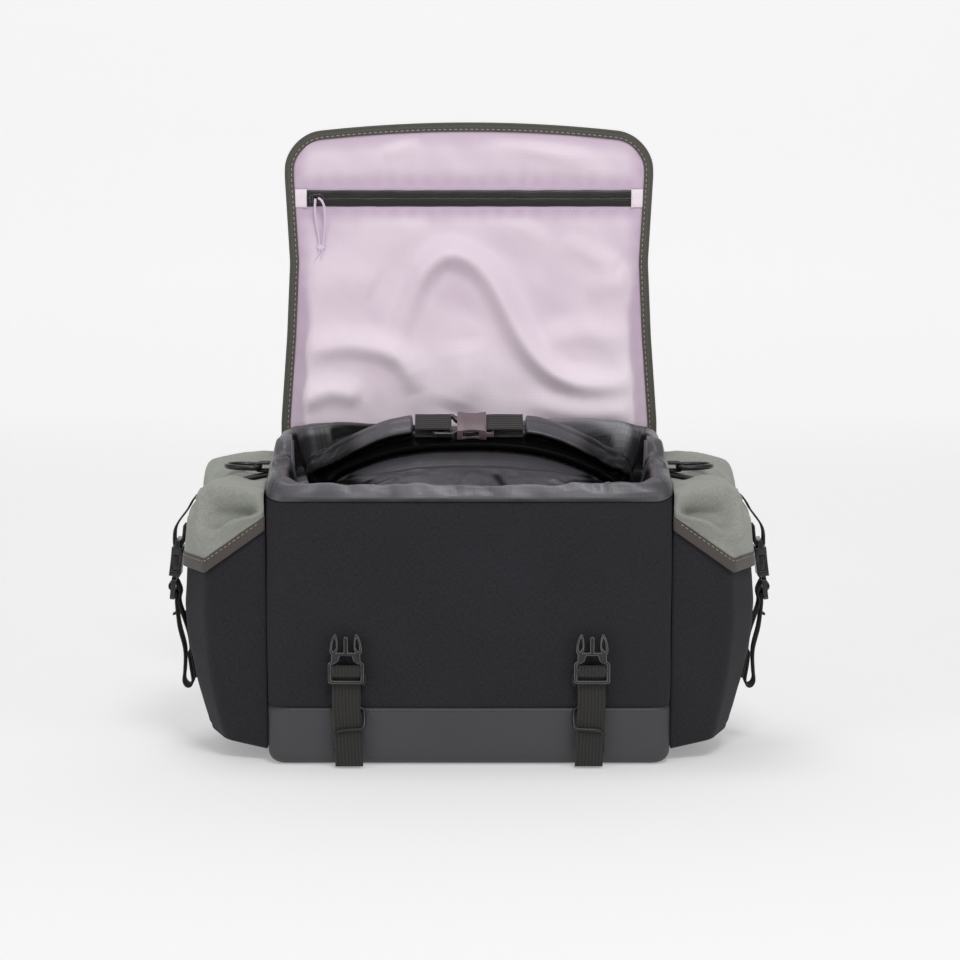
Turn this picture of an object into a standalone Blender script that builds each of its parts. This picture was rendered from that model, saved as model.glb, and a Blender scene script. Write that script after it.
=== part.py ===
"""A bicycle handlebar bag with its lid thrown open: a boxy main bag on a coated base, a thin
roll-top collar whose ends are clipped together, and a lidded pocket on each side.

Metres, +Z up, the rider behind at +Y. The origin is the middle of the flat base.
"""

import math

import bmesh
import bpy
from mathutils import Matrix, Vector

MM = 0.001
GAP = 0.3 * MM  # left between pieces that touch

# Main bag
BODY_WIDTH = 290 * MM
BODY_DEPTH = 170 * MM
SEAM_HEIGHT = 190 * MM  # the seam between the front panel and the collar
RIM_RISE = 20 * MM  # how much higher the side and back panels end
RIM_RUN = 45 * MM  # how fast the side panels rise behind the front corner
BAND_HEIGHT = 42 * MM  # coated base
BASE_ROUND = 9 * MM
BODY_CORNER = 14 * MM
BODY_WALL = 2.5 * MM
BELLY = 3 * MM  # how far the front panel bows out

# Roll-top collar
COLLAR_HEIGHT = 45 * MM  # its highest fold above the front seam
COLLAR_WALL = 1.3 * MM
SLOT_LENGTH = 208 * MM  # the mouth that the roll closes
SLOT_WIDTH = 8 * MM
ROLL_BACK = 6 * MM  # the roll lies this far behind the bag's middle
ROLL_WIDTH = 23 * MM
ROLL_THICKNESS = 8 * MM
ROLL_LIFT = 29 * MM  # the roll's middle above the front seam
ROLL_SAG = 22 * MM  # how much lower its folded ends lie
ROLL_TILT = 28  # degrees that the flat roll leans towards the front
ARM_LIFT = 45 * MM  # the clipped ends above the front seam
ARM_END = 41 * MM  # from the middle to where a folded end stops
ROLL_END = 119 * MM  # from the middle to the fold at each end

# Lid
LID_WIDTH = 286 * MM
LID_TOP = 446 * MM
LID_HEM = 170 * MM  # its sewn edge on the back panel
LID_CORNER = 27 * MM
LID_CROWN = 6.5 * MM
LID_LEAN = 3.0  # degrees
LID_WALL = 1.3 * MM
LINING_WALL = 1.0 * MM
LINING_BULGE = 7 * MM
ZIP_MARGIN = 9 * MM  # flat lining above and below the zip
FOLD_FADE = 20 * MM  # over which the lining's folds die away
BINDING_WIDTH = 7 * MM
BINDING_THICKNESS = 3.6 * MM
ZIP_HEIGHT = 49.5 * MM  # below the lid's top
ZIP_LENGTH = 245 * MM
ZIP_WIDTH = 12 * MM
ZIP_WALL = 1.2 * MM
SLIDER_INSET = 8 * MM  # from the zip's end

# Side pockets
POCKET_REACH = 62.5 * MM
POCKET_LENGTH = 148 * MM
POCKET_BASE = 8 * MM
POCKET_RISE = 10 * MM  # the outer edge of the bottom above its inner edge
MOUTH_DROP = 40 * MM  # the pocket's mouth below the side panels' top
POCKET_WALL = 2 * MM
POCKET_ROUND = 4 * MM  # how far the bottom is drawn in
FLAP_WALL = 1.5 * MM
FLAP_ROOM = 0.8 * MM  # between the pocket and the flap over it
FLAP_HANG = 73 * MM  # the flap's edge round the outside, below the side panels' top
FLAP_HANG_ROOT = 41 * MM  # the same where it meets the main bag
FLAP_BINDING = 10 * MM
BINDING_STEP = 0.5 * MM  # how far a binding stands proud of its cloth
SHOULDER_DROP = 25.5 * MM  # the flap's top edge under its strap, below the side panels' top
CORNER_DROP = 20 * MM  # the same at its front corner
REAR_LIFT = 15 * MM  # how much higher the flap's rear corner stands
FLAP_DROP = 3 * MM  # the flap's seam below the main bag's rim
STRAP_DROP = 5 * MM  # how much lower it is pulled under the strap
SECTION_DROP = 24 * MM  # the top of POCKET_SECTIONS below the side panels' top

# Webbing and plastic
WEBBING_WIDTH = 20 * MM
WEBBING = 1.4 * MM
BUCKLE_SIDE = 2.85 * MM  # the buckle's frame beside the webbing
BUCKLE_PLATE = 3.4 * MM
MALE_LENGTH = 36 * MM
FEMALE_LENGTH = 26.6 * MM
BUCKLE_LENGTH = 44 * MM  # both halves clipped together
BUCKLE_BODY = 8 * MM
SLOT_ROOM = 0.5 * MM  # beside the webbing in a slot
MALE_FRAME = 2.2 * MM  # the male half's lowest bar
BAR_LOW = 8.6 * MM  # the bar that the webbing turns round
BAR_HIGH = 10.6 * MM
HEAD_LOW = 16.2 * MM  # where the prongs start
FEMALE_BAR = 2.3 * MM
FEMALE_SLOT = 2.8 * MM
FEMALE_RELIEF = 5.4 * MM
FEMALE_DIP = 1.6 * MM  # how far the side windows are scooped in
CAVITY_ROOM = 0.4 * MM  # round the prongs
FRONT_STRAP_X = 87.7 * MM
TAIL_LEAN = 2 * MM  # towards the bag's middle
FRONT_BUCKLE_LOW = 61 * MM
KEEPER_HEIGHT = 28 * MM
KEEPER_RISE = 15 * MM
KEEPER_WIRE = 1.3 * MM
SIDE_BUCKLE_DROP = 28 * MM  # the clipped buckle's lowest bar below the flap's edge
SIDE_BUCKLE_OUT = 11.2 * MM  # outside the pocket's widest line
SIDE_BUCKLE_TILT = 7  # degrees
STRAP_ANCHOR = 50 * MM  # where the pocket's strap is sewn on
TAIL_LOW = 43 * MM
RING_WIRE = 1.75 * MM
RING_WIDTH = 27 * MM
RING_LENGTH = 25 * MM
RING_TILT = 2  # degrees up from level
RING_CORNER = 4 * MM
RING_BACK = 3 * MM  # behind the pocket's middle
TAB_REACH = 8.5 * MM
LID_BUCKLE_DROP = 74 * MM  # below the lid's top, behind it
PLATE_WIDTH = 110 * MM
PLATE_HEIGHT = 66 * MM
PLATE_THICKNESS = 7 * MM
PLATE_LOW = 92 * MM
PLATE_CORNER = 10 * MM
CORD = 1.8 * MM
SLIDER_WALL = 2.4 * MM
KNOT_SIZE = (3.6 * MM, 2.2 * MM, 2.6 * MM)

FRONT = -BODY_DEPTH / 2
BACK = BODY_DEPTH / 2
SIDE = BODY_WIDTH / 2
SIDE_TOP = SEAM_HEIGHT + RIM_RISE
POCKET_MOUTH = SIDE_TOP - MOUTH_DROP
SECTION_TOP = SIDE_TOP - SECTION_DROP
FLAP_LOW = SIDE_TOP - FLAP_HANG
FLAP_HIGH = SIDE_TOP - FLAP_HANG_ROOT
SIDE_BUCKLE_LOW = FLAP_LOW - SIDE_BUCKLE_DROP
BUCKLE_HALF = WEBBING_WIDTH / 2 + BUCKLE_SIDE
SLOT_HALF = WEBBING_WIDTH / 2 + SLOT_ROOM
NEAR = BUCKLE_PLATE / 2 + 1.5 * GAP + WEBBING / 2  # webbing against the plate
FAR = NEAR + WEBBING + 1.1 * MM  # webbing behind other webbing
FEMALE_START = BUCKLE_LENGTH - FEMALE_LENGTH
STRAP_ROOM = WEBBING_WIDTH / 2 + 3 * MM  # flat cloth under the strap
UP = Vector((0, 0, 1))
ACROSS = Vector((1, 0, 0))
DEEP = Vector((0, 1, 0))

# Stretches of the main bag's outline on its long sides, its short sides and each corner.
RING_STEPS = {"front": 12, "side": 7, "corner": 3}
# Up the seam height: the share of BELLY by which the front panel bows out.
BELLY_SHARES = ((0.0, 0.0), (0.2, 0.45), (0.5, 1.0), (0.8, 0.8), (1.0, 0.35))

# Stations go round the rim: 0 front middle, 1 front corner, 2 back corner, 3 back middle.
# station, way to the crest as a share of the way to the slot, crest and floor as shares of COLLAR_HEIGHT
COLLAR_STATIONS = (
    (0.0, 0.10, 0.24, 0.12),
    (0.6, 0.10, 0.24, 0.04),
    (0.9, 0.16, 0.30, -0.02),
    (1.1, 0.34, 0.46, -0.06),
    (1.35, 0.40, 0.62, -0.04),
    (1.6, 0.42, 0.80, 0.06),
    (1.85, 0.40, 0.95, 0.18),
    (2.2, 0.36, 1.00, 0.28),
    (2.6, 0.32, 0.92, 0.32),
    (3.0, 0.30, 0.88, 0.36),
)
# share of the way to the crest, share of the rise to it
COLLAR_RISE = ((0.0, 0.0), (0.05, 0.32), (0.18, 0.62), (0.48, 0.90), (1.0, 1.0))
# share of the way on to the slot, shares of the fall to the floor and of the rise from it to the slot
COLLAR_FALL = (
    (0.12, 0.25, 0.0),
    (0.26, 0.75, 0.0),
    (0.42, 1.0, 0.15),
    (0.62, 1.0, 0.4),
    (0.82, 1.0, 0.7),
    (1.0, 1.0, 1.0),
)
# start and end as shares of half the width and half the depth, half width in shares of BODY_DEPTH,
# height as a share of COLLAR_HEIGHT
COLLAR_FOLDS = (
    (-0.96, -0.05, -0.35, 0.42, 0.045, 0.22),
    (-0.90, 0.35, -0.30, 0.62, 0.035, -0.16),
    (0.96, -0.10, 0.40, 0.34, 0.040, 0.22),
    (0.92, 0.32, 0.22, 0.60, 0.035, -0.18),
    (0.80, 0.62, 0.30, 0.80, 0.040, 0.08),
    (-0.25, -0.93, -0.16, -0.86, 0.035, 0.05),
    (0.52, -0.95, 0.70, -0.85, 0.035, 0.05),
)
# from the middle outwards as a share of ROLL_END, share of the way down from the lift to the sag
ARM_LINE = ((0.0, 0.0), (0.14, 0.13), (0.31, 0.42), (0.59, 0.80), (0.74, 0.94), (0.87, 1.0))

# up the lid as a share of its height above the hem, half width as a share of the full one
LID_WAIST = ((0.0, 1.0), (0.22, 0.997), (0.45, 0.963), (0.65, 0.944), (0.88, 0.968), (1.0, 0.965))
# across -1 to 1, up 0 to 1, degrees, half length and half width as shares of LID_WIDTH, share of LINING_BULGE
LINING_FOLDS = (
    (-0.14, 0.52, 62, 0.15, 0.035, 0.75),
    (0.14, 0.42, -52, 0.20, 0.045, 0.55),
    (-0.55, 0.30, 24, 0.17, 0.045, 0.80),
    (-0.42, 0.12, 38, 0.13, 0.035, 0.60),
    (0.55, 0.20, 10, 0.20, 0.045, 0.75),
    (0.66, 0.46, -28, 0.13, 0.040, 0.40),
    (-0.62, 0.56, -12, 0.14, 0.045, 0.35),
    (0.02, 0.16, 88, 0.10, 0.050, 0.50),
    (-0.60, 0.88, 32, 0.12, 0.025, 0.30),
    (0.40, 0.90, -30, 0.14, 0.025, 0.30),
)

# up the pocket from its base to SECTION_TOP, reach and length as shares of the pocket's
POCKET_SECTIONS = (
    (0.0, 0.70, 0.93),
    (0.05, 0.75, 0.955),
    (0.23, 0.895, 0.985),
    (0.40, 0.97, 1.0),
    (0.54, 1.0, 1.0),
    (0.74, 0.965, 1.0),
    (0.86, 0.94, 1.0),
    (1.0, 0.92, 0.985),
)
# up the flap from its binding to its top edge, how far its middle is pulled in as a share of the reach
FLAP_ROWS = ((0.0, 1.0), (0.4, 1.0), (0.72, 0.98), (0.9, 0.91), (1.0, 0.82))
# reach share, half-length share, rounding as a share of POCKET_REACH
POCKET_PLAN = (
    (0.0, -1.0, 0.0),
    (0.70, -0.87, 0.17),
    (1.0, -0.38, 0.30),
    (1.0, 0.38, 0.30),
    (0.70, 0.87, 0.17),
    (0.0, 1.0, 0.0),
)
# up the pocket from its base to its mouth
POCKET_LEVELS = (0.06, 0.2, 0.38, 0.56, 0.76, 1.0)
# the pocket strap's loose end: out from the wall as a share of SIDE_BUCKLE_OUT, up from its lowest
# point as a share of the way to the buckle
SIDE_TAIL = (
    (1.205, 0.697),
    (0.848, 0.424),
    (0.875, 0.197),
    (0.946, 0.076),
    (0.821, 0.018),
    (0.607, 0.0),
    (0.411, 0.021),
    (0.348, 0.091),
    (0.464, 0.227),
    (0.589, 0.394),
)

# The male half's head, from its root up the outer side of a prong, round its tip and down to the middle
# tongue: across as a share of BUCKLE_HALF, up as a share of the way from the head to the tips
MALE_PRONG = (
    (0.81, 0.00),
    (0.80, 0.26),
    (0.885, 0.31),
    (0.89, 0.47),
    (0.85, 0.65),
    (0.765, 0.84),
    (0.655, 0.97),
    (0.58, 1.00),
    (0.52, 0.95),
    (0.465, 0.80),
    (0.435, 0.60),
    (0.455, 0.43),
    (0.53, 0.32),
    (0.113, 0.32),
    (0.113, 0.85),
    (0.06, 0.89),
    (0.0, 0.89),
)
# the hole through a prong, in the same shares
MALE_EYE = (
    (0.70, 0.35),
    (0.75, 0.42),
    (0.745, 0.60),
    (0.69, 0.77),
    (0.61, 0.87),
    (0.55, 0.76),
    (0.53, 0.50),
)
# up the female half as a share of its length, share of FEMALE_DIP
FEMALE_SIDES = (
    (0.0, 0.0),
    (0.12, 0.05),
    (0.22, 0.6),
    (0.34, 1.0),
    (0.5, 1.0),
    (0.62, 0.6),
    (0.72, 0.05),
    (1.0, 0.0),
)

# across and up from the slider's middle as shares of ZIP_WIDTH
SLIDER_EDGE = (
    (-0.417, -0.217),
    (0.167, -0.283),
    (0.417, -0.2),
    (0.467, 0.0),
    (0.417, 0.2),
    (0.167, 0.283),
    (-0.417, 0.217),
)
SLIDER_HOLE = ((-0.2, -0.108), (0.133, -0.125), (0.133, 0.125), (-0.2, 0.108))
# the pull cord's routes from the slider, chosen by hand: across, forward of the zip and up, in mm
PULL_LEFT = (
    (-0.6, 4.4, -0.2),
    (-0.8, 5.0, -3),
    (-1.0, 4.8, -8),
    (-0.4, 4.0, -15),
    (0.6, 3.2, -22),
    (1.6, 2.6, -29),
    (2.0, 2.4, -33.6),
)
PULL_RIGHT = (
    (1.6, 4.4, 0.4),
    (4.2, 5.4, -1.6),
    (6.0, 5.2, -6),
    (6.4, 4.4, -12),
    (6.2, 3.6, -19),
    (5.6, 2.9, -26),
    (4.6, 2.5, -33.6),
)
PULL_KNOT = (3.2, 2.5, -36.6)
TAIL_LEFT = ((2.0, 2.6, -39.6), (0.6, 2.8, -42.5), (-1.2, 2.8, -45.5), (-2.4, 2.6, -49))
TAIL_RIGHT = ((4.4, 2.6, -39.6), (3.6, 3.0, -43), (2.4, 3.0, -47), (2.2, 2.8, -51))

# linear colour, roughness
FINISHES = {
    "weave": ((0.022, 0.021, 0.025), 0.85),
    "coated": ((0.07, 0.067, 0.07), 0.55),
    "ripstop": ((0.045, 0.042, 0.048), 0.6),
    "lining": ((0.76, 0.64, 0.76), 0.6),
    "canvas": ((0.34, 0.36, 0.32), 0.85),
    "binding": ((0.15, 0.125, 0.115), 0.8),
    "edging": ((0.09, 0.085, 0.075), 0.7),
    "webbing": ((0.02, 0.019, 0.017), 0.8),
    "plastic": ((0.025, 0.025, 0.026), 0.4),
    "zip": ((0.018, 0.018, 0.018), 0.5),
    "cord": ((0.74, 0.6, 0.78), 0.6),
}


def smooth_step(share):
    share = max(0.0, min(1.0, share))
    return share * share * (3 - 2 * share)


def look_up(table, at):
    """The row of a table at a position, worked out between the rows on either side."""
    if at <= table[0][0]:
        return table[0][1:]
    for low, high in zip(table, table[1:]):
        if at <= high[0]:
            share = (at - low[0]) / (high[0] - low[0])
            return tuple(a + (b - a) * share for a, b in zip(low[1:], high[1:]))
    return table[-1][1:]


def finished(name, data, finish):
    """A linked object with a material of its own: a plain plastic or cloth of one colour and roughness."""
    made = bpy.data.materials.new(name)
    made.use_nodes = True
    shader = made.node_tree.nodes["Principled BSDF"]
    colour, roughness = FINISHES[finish]
    shader.inputs["Base Color"].default_value = (*colour, 1)
    shader.inputs["Roughness"].default_value = roughness
    shader.inputs["Metallic"].default_value = 0.0
    if not data.materials:
        data.materials.append(None)
    piece = bpy.data.objects.new(name, data)
    piece.material_slots[0].link = "OBJECT"
    piece.material_slots[0].material = made
    bpy.context.scene.collection.objects.link(piece)
    return piece


def place(name, mesh, finish, matrix=None):
    """One named piece from a mesh, shaded smooth between its creases."""
    mesh.shade_smooth()
    mesh.set_sharp_from_angle(angle=math.radians(40))
    piece = finished(name, mesh, finish)
    if matrix is not None:
        piece.matrix_world = matrix
    return piece


def mesh_of(name, points, faces):
    mesh = bpy.data.meshes.new(name)
    mesh.from_pydata([tuple(p) for p in points], [], faces)
    shell = bmesh.new()
    shell.from_mesh(mesh)
    bmesh.ops.recalc_face_normals(shell, faces=shell.faces)
    shell.to_mesh(mesh)
    shell.free()
    return mesh


def ring_faces(first, second, count, closed=True):
    """Quads between two rows of points that start at these indices."""
    last = count if closed else count - 1
    return [
        (first + i, first + (i + 1) % count, second + (i + 1) % count, second + i)
        for i in range(last)
    ]


def cup_mesh(name, rings):
    """A hollow cup: rings up the outside and down the inside, with both floors filled."""
    count = len(rings[0])
    points = [p for ring in rings for p in ring]
    faces = [tuple(reversed(range(count)))]
    for row in range(len(rings) - 1):
        faces += ring_faces(row * count, (row + 1) * count, count)
    last = (len(rings) - 1) * count
    faces.append(tuple(range(last, last + count)))
    return mesh_of(name, points, faces)


def sleeve_mesh(name, rings):
    """An open sleeve: rings up the outside and down the inside, joined back to the first."""
    count = len(rings[0])
    points = [p for ring in rings for p in ring]
    faces = []
    for row in range(len(rings)):
        faces += ring_faces(row * count, (row + 1) % len(rings) * count, count)
    return mesh_of(name, points, faces)


def grid_normals(grid, closed):
    """The outward direction at each point. The first row's are level, so that its edge is cut level."""
    rows, columns = len(grid), len(grid[0])
    normals = []
    for r in range(rows):
        line = []
        for c in range(columns):
            before, after = (c - 1, c + 1)
            if closed:
                before, after = before % columns, after % columns
            else:
                before, after = max(before, 0), min(after, columns - 1)
            along = grid[r][after] - grid[r][before]
            up = grid[min(r + 1, rows - 1)][c] - grid[max(r - 1, 0)][c]
            normal = along.cross(up)
            if r == 0:
                normal.z = 0
            line.append(normal.normalized())
        normals.append(line)
    return normals


def sheet_mesh(name, grid, wall, closed=False):
    """Cloth of one thickness behind a grid of points. The points are its face, the wall is behind."""
    rows, columns = len(grid), len(grid[0])
    normals = grid_normals(grid, closed)
    back = [[p - n * wall for p, n in zip(*pair)] for pair in zip(grid, normals)]
    points = [p for line in grid for p in line] + [p for line in back for p in line]
    half = rows * columns
    faces = []
    for r in range(rows - 1):
        face_row = ring_faces(r * columns, (r + 1) * columns, columns, closed)
        faces += face_row
        faces += [tuple(half + i for i in reversed(face)) for face in face_row]
    last = (rows - 1) * columns
    faces += [(b, a, d, c) for a, b, c, d in ring_faces(0, half, columns, closed)]
    faces += ring_faces(last, half + last, columns, closed)
    if not closed:
        for c in (0, columns - 1):
            for r in range(rows - 1):
                a, b = r * columns + c, (r + 1) * columns + c
                faces.append((a, b, half + b, half + a))
    return mesh_of(name, points, faces)


def side_directions(path, axis):
    """The direction square to a flat path and to the axis at each point, lengthened at corners."""
    found = []
    for i in range(len(path)):
        turns = []
        if i:
            turns.append((path[i] - path[i - 1]).normalized().cross(axis).normalized())
        if i < len(path) - 1:
            turns.append((path[i + 1] - path[i]).normalized().cross(axis).normalized())
        middle = sum(turns, Vector()).normalized()
        found.append(middle / max(0.5, middle.dot(turns[0])))
    return found


def ribbon_mesh(name, path, axis, width, thickness, crown=0.0):
    """Webbing along a path, its width along the axis. The crown rounds a thicker roll's faces."""
    axis = axis.normalized()
    if crown:
        profile = [(-0.5, -0.12), (-0.4, -0.42), (0, -0.5), (0.4, -0.42), (0.5, -0.12)]
        profile += [(0.5, 0.12), (0.4, 0.42), (0, 0.5), (-0.4, 0.42), (-0.5, 0.12)]
    else:
        profile = [(-0.5, -0.5), (0.5, -0.5), (0.5, 0.5), (-0.5, 0.5)]
    rings = [
        [p + axis * width * a + out * thickness * b for a, b in profile]
        for p, out in zip(path, side_directions(path, axis))
    ]
    return cup_mesh(name, rings)


def wire_mesh(name, route, radius, sides, cyclic=False):
    """A round bar along a route, made as a bevelled curve and read back as a mesh."""
    line = bpy.data.curves.new(name, "CURVE")
    line.dimensions = "3D"
    line.bevel_depth = radius
    line.bevel_resolution = max(0, sides // 4 - 1)
    line.use_fill_caps = not cyclic
    spline = line.splines.new("POLY")
    spline.points.add(len(route) - 1)
    for point, spot in zip(spline.points, route):
        point.co = (*spot, 1)
    spline.use_cyclic_u = cyclic
    return evaluated(name, line)


def smooth_route(spots, spacing):
    """Points at an even spacing along a smooth curve through these spots."""
    ends = [spots[0] * 2 - spots[1], *spots, spots[-1] * 2 - spots[-2]]
    fine = []
    for p0, p1, p2, p3 in zip(ends, ends[1:], ends[2:], ends[3:]):
        for step in range(12):
            t = step / 12
            bend = (p2 - p0) * t + (p0 * 2 - p1 * 5 + p2 * 4 - p3) * t**2
            fine.append(p1 + (bend + (p1 * 3 - p0 - p2 * 3 + p3) * t**3) / 2)
    fine.append(spots[-1])
    length = sum((b - a).length for a, b in zip(fine, fine[1:]))
    count = max(2, round(length / spacing))
    route, walked, wanted = [fine[0]], 0.0, length / count
    for a, b in zip(fine, fine[1:]):
        walked += (b - a).length
        if walked >= wanted - 1e-9 and len(route) < count:
            route.append(b)
            wanted += length / count
    return [*route, fine[-1]]


def cord(name, spots):
    """A thin round cord along a smooth route, with closed ends."""
    line = bpy.data.curves.new(name, "CURVE")
    line.dimensions = "3D"
    line.bevel_depth = CORD / 2
    line.bevel_resolution = 2
    line.use_fill_caps = True
    route = smooth_route(spots, CORD * 2.5)
    spline = line.splines.new("POLY")
    spline.points.add(len(route) - 1)
    for point, spot in zip(spline.points, route):
        point.co = (*spot, 1)
    finished(name, line, "cord")


def evaluated(name, data, cutters=()):
    """The mesh that Blender makes of some data once the cutters are taken from it."""
    holder = bpy.data.objects.new(name, data)
    bpy.context.scene.collection.objects.link(holder)
    helpers = []
    for cutter in cutters:
        helper = bpy.data.objects.new(name + "_cutter", cutter)
        bpy.context.scene.collection.objects.link(helper)
        cut = holder.modifiers.new("cut", "BOOLEAN")
        cut.operation = "DIFFERENCE"
        cut.object = helper
        helpers.append(helper)
    graph = bpy.context.evaluated_depsgraph_get()
    mesh = bpy.data.meshes.new_from_object(holder.evaluated_get(graph))
    mesh.name = name
    for helper in [holder, *helpers]:
        bpy.data.objects.remove(helper)
    shell = bmesh.new()
    shell.from_mesh(mesh)
    bmesh.ops.remove_doubles(shell, verts=shell.verts, dist=0.001 * MM)
    bmesh.ops.recalc_face_normals(shell, faces=shell.faces)
    shell.to_mesh(mesh)
    shell.free()
    return mesh


def plate_mesh(name, outlines, thickness):
    """A flat plate: the first outline is its edge and the others are holes through it."""
    sheet = bpy.data.curves.new(name, "CURVE")
    sheet.dimensions = "2D"
    sheet.fill_mode = "BOTH"
    sheet.extrude = thickness / 2
    for outline in outlines:
        spline = sheet.splines.new("POLY")
        spline.points.add(len(outline) - 1)
        for point, (x, y) in zip(spline.points, outline):
            point.co = (x, y, 0, 1)
        spline.use_cyclic_u = True
    return evaluated(name, sheet)


def block_mesh(name, low, high):
    shell = bmesh.new()
    bmesh.ops.create_cube(shell, size=1)
    for vert in shell.verts:
        vert.co = Vector(a + (b - a) * (c + 0.5) for a, b, c in zip(low, high, vert.co))
    mesh = bpy.data.meshes.new(name)
    shell.to_mesh(mesh)
    shell.free()
    return mesh


def both_sides(half):
    """A closed outline from its right half, listed from the bottom middle to the top middle."""
    return list(half) + [(-x, y) for x, y in reversed(half) if x > 1e-9]


def rounded_polygon(corners, arc_steps, closed):
    """Points along a polygon whose corners are (x, y, radius), with round corners as arcs."""
    count = len(corners)
    points = []
    for i, (x, y, radius) in enumerate(corners):
        spot = Vector((x, y))
        if radius <= 0 or (not closed and i in (0, count - 1)):
            points.append(spot)
            continue
        before = Vector(corners[i - 1][:2])
        after = Vector(corners[(i + 1) % count][:2])
        into, out = (before - spot).normalized(), (after - spot).normalized()
        half_angle = into.angle(out) / 2
        reach = radius / math.tan(half_angle)
        centre = spot + (into + out).normalized() * (radius / math.sin(half_angle))
        first = spot + into * reach - centre
        sweep = first.angle_signed(spot + out * reach - centre)
        for step in range(arc_steps + 1):
            turn = Matrix.Rotation(-sweep * step / arc_steps, 2)
            points.append(centre + turn @ first)
    return points


def filled_in(points, steps):
    """The same line with some stretches split into the numbers of steps given by their place in it."""
    line = [points[0]]
    for place_in_line, (before, after) in enumerate(zip(points, points[1:])):
        count = steps.get(place_in_line, 1)
        line += [before.lerp(after, i / count) for i in range(1, count + 1)]
    return line


# Main bag


def belly_at(z):
    return BELLY * look_up(BELLY_SHARES, z / SEAM_HEIGHT)[0]


def front_face(x, z):
    """Where the front panel's outer face is, at a height and a place across."""
    return FRONT - belly_at(z) * max(0.0, 1 - (x / SIDE) ** 2)


def rim_height(y):
    return SEAM_HEIGHT + RIM_RISE * (1 - math.exp(-max(0.0, y - FRONT) / RIM_RUN))


def body_ring(z, inset, height=None):
    """One level ring of the main bag. The height may be a function of how far back a point is."""
    half_x, half_y = SIDE - inset, BODY_DEPTH / 2 - inset
    radius = max(BODY_CORNER - inset, 1 * MM)
    plan = []
    for turn, (steps, long_x) in enumerate(
        [(RING_STEPS["front"], 1), (RING_STEPS["side"], 0)] * 2
    ):
        quarter = Matrix.Rotation(math.radians(90 * turn), 2)
        reach, out = (half_x, half_y) if long_x else (half_y, half_x)
        for i in range(steps):
            along = -(reach - radius) + 2 * (reach - radius) * i / steps
            plan.append(quarter @ Vector((along, -out)))
        centre = quarter @ Vector((reach - radius, -(out - radius)))
        for i in range(RING_STEPS["corner"]):
            angle = math.radians(90 * turn - 90 + 90 * i / RING_STEPS["corner"])
            plan.append(centre + radius * Vector((math.cos(angle), math.sin(angle))))
    ring = []
    for spot in plan:
        x, y = spot
        if y < 0 and abs(x) < SIDE - BODY_CORNER:
            y -= belly_at(z) * (1 - (x / (SIDE - BODY_CORNER)) ** 2)
        level = height(spot.y * BACK / half_y) if height else z
        ring.append(Vector((x, y, level)))
    return ring


def base_round(share, inset=0.0):
    """A ring on the rounded edge under the bag: share 0 is on the floor, 1 is upright."""
    angle = math.radians(90 * share)
    radius = BASE_ROUND - inset
    drop = radius * (1 - math.sin(angle))
    return body_ring(inset + radius * (1 - math.cos(angle)), inset + drop)


def main_bag():
    top = BAND_HEIGHT - GAP / 2
    outside = [base_round(i / 3) for i in range(4)] + [body_ring(top, 0)]
    inside = [body_ring(top, BODY_WALL), base_round(1, BODY_WALL), base_round(0.2, BODY_WALL)]
    place("base_tub", cup_mesh("base_tub", outside + inside), "coated")

    foot = BAND_HEIGHT + GAP / 2
    levels = [foot + (SEAM_HEIGHT - foot) * i / 4 for i in range(5)]
    outside = [body_ring(z, 0) for z in levels[:-1]] + [body_ring(levels[-1], 0, rim_height)]
    inside = [body_ring(levels[-1], BODY_WALL, rim_height), body_ring(foot, BODY_WALL)]
    place("main_shell", sleeve_mesh("main_shell", outside + inside), "weave")


# Roll-top collar


def station_of(spot):
    """How far round the rim a point is: 0 front middle, 1 front corner, 2 back corner, 3 back middle."""
    across, deep = abs(spot.x) / SIDE, (spot.y - FRONT) / BODY_DEPTH
    if deep < 0.04:
        return min(across, 1.0)
    if deep > 0.96:
        return 3 - min(across, 1.0)
    return 1 + deep


def slot_stations():
    """Places across, from the middle out, at which the slot and the roll on it both bend."""
    straight = (SIDE - BODY_CORNER) / SIDE * SLOT_LENGTH / 2
    count = RING_STEPS["front"] // 2
    return [straight * i / count for i in range(count + 1)]


def turn_start():
    return ARM_END + (ROLL_END - ARM_END) * ARM_LINE[-1][0]


def roll_height(x):
    """The middle of the roll's lower run."""
    return SEAM_HEIGHT + ROLL_LIFT - ROLL_SAG * smooth_step(abs(x) / turn_start())


def roll_underside(x, y):
    """The plane of the roll's lower face: it leans, so it is lower towards the front."""
    tilt = math.radians(ROLL_TILT)
    rise = (y - ROLL_BACK) * math.tan(tilt)
    return roll_height(x) + rise - ROLL_THICKNESS / 2 / math.cos(tilt)


def fold_height(x, y, folds, half_x, half_y):
    """The sum of the long soft folds near a point, each a ridge or a valley along a line."""
    total = 0.0
    here = Vector((x, y))
    for x0, y0, x1, y1, width, height in folds:
        start, end = Vector((x0 * half_x, y0 * half_y)), Vector((x1 * half_x, y1 * half_y))
        run = end - start
        share = max(0.0, min(1.0, (here - start).dot(run) / run.length_squared))
        away = (here - start.lerp(end, share)).length / (width * BODY_DEPTH)
        total += height * math.exp(-away * away) * COLLAR_HEIGHT
    return total


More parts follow.
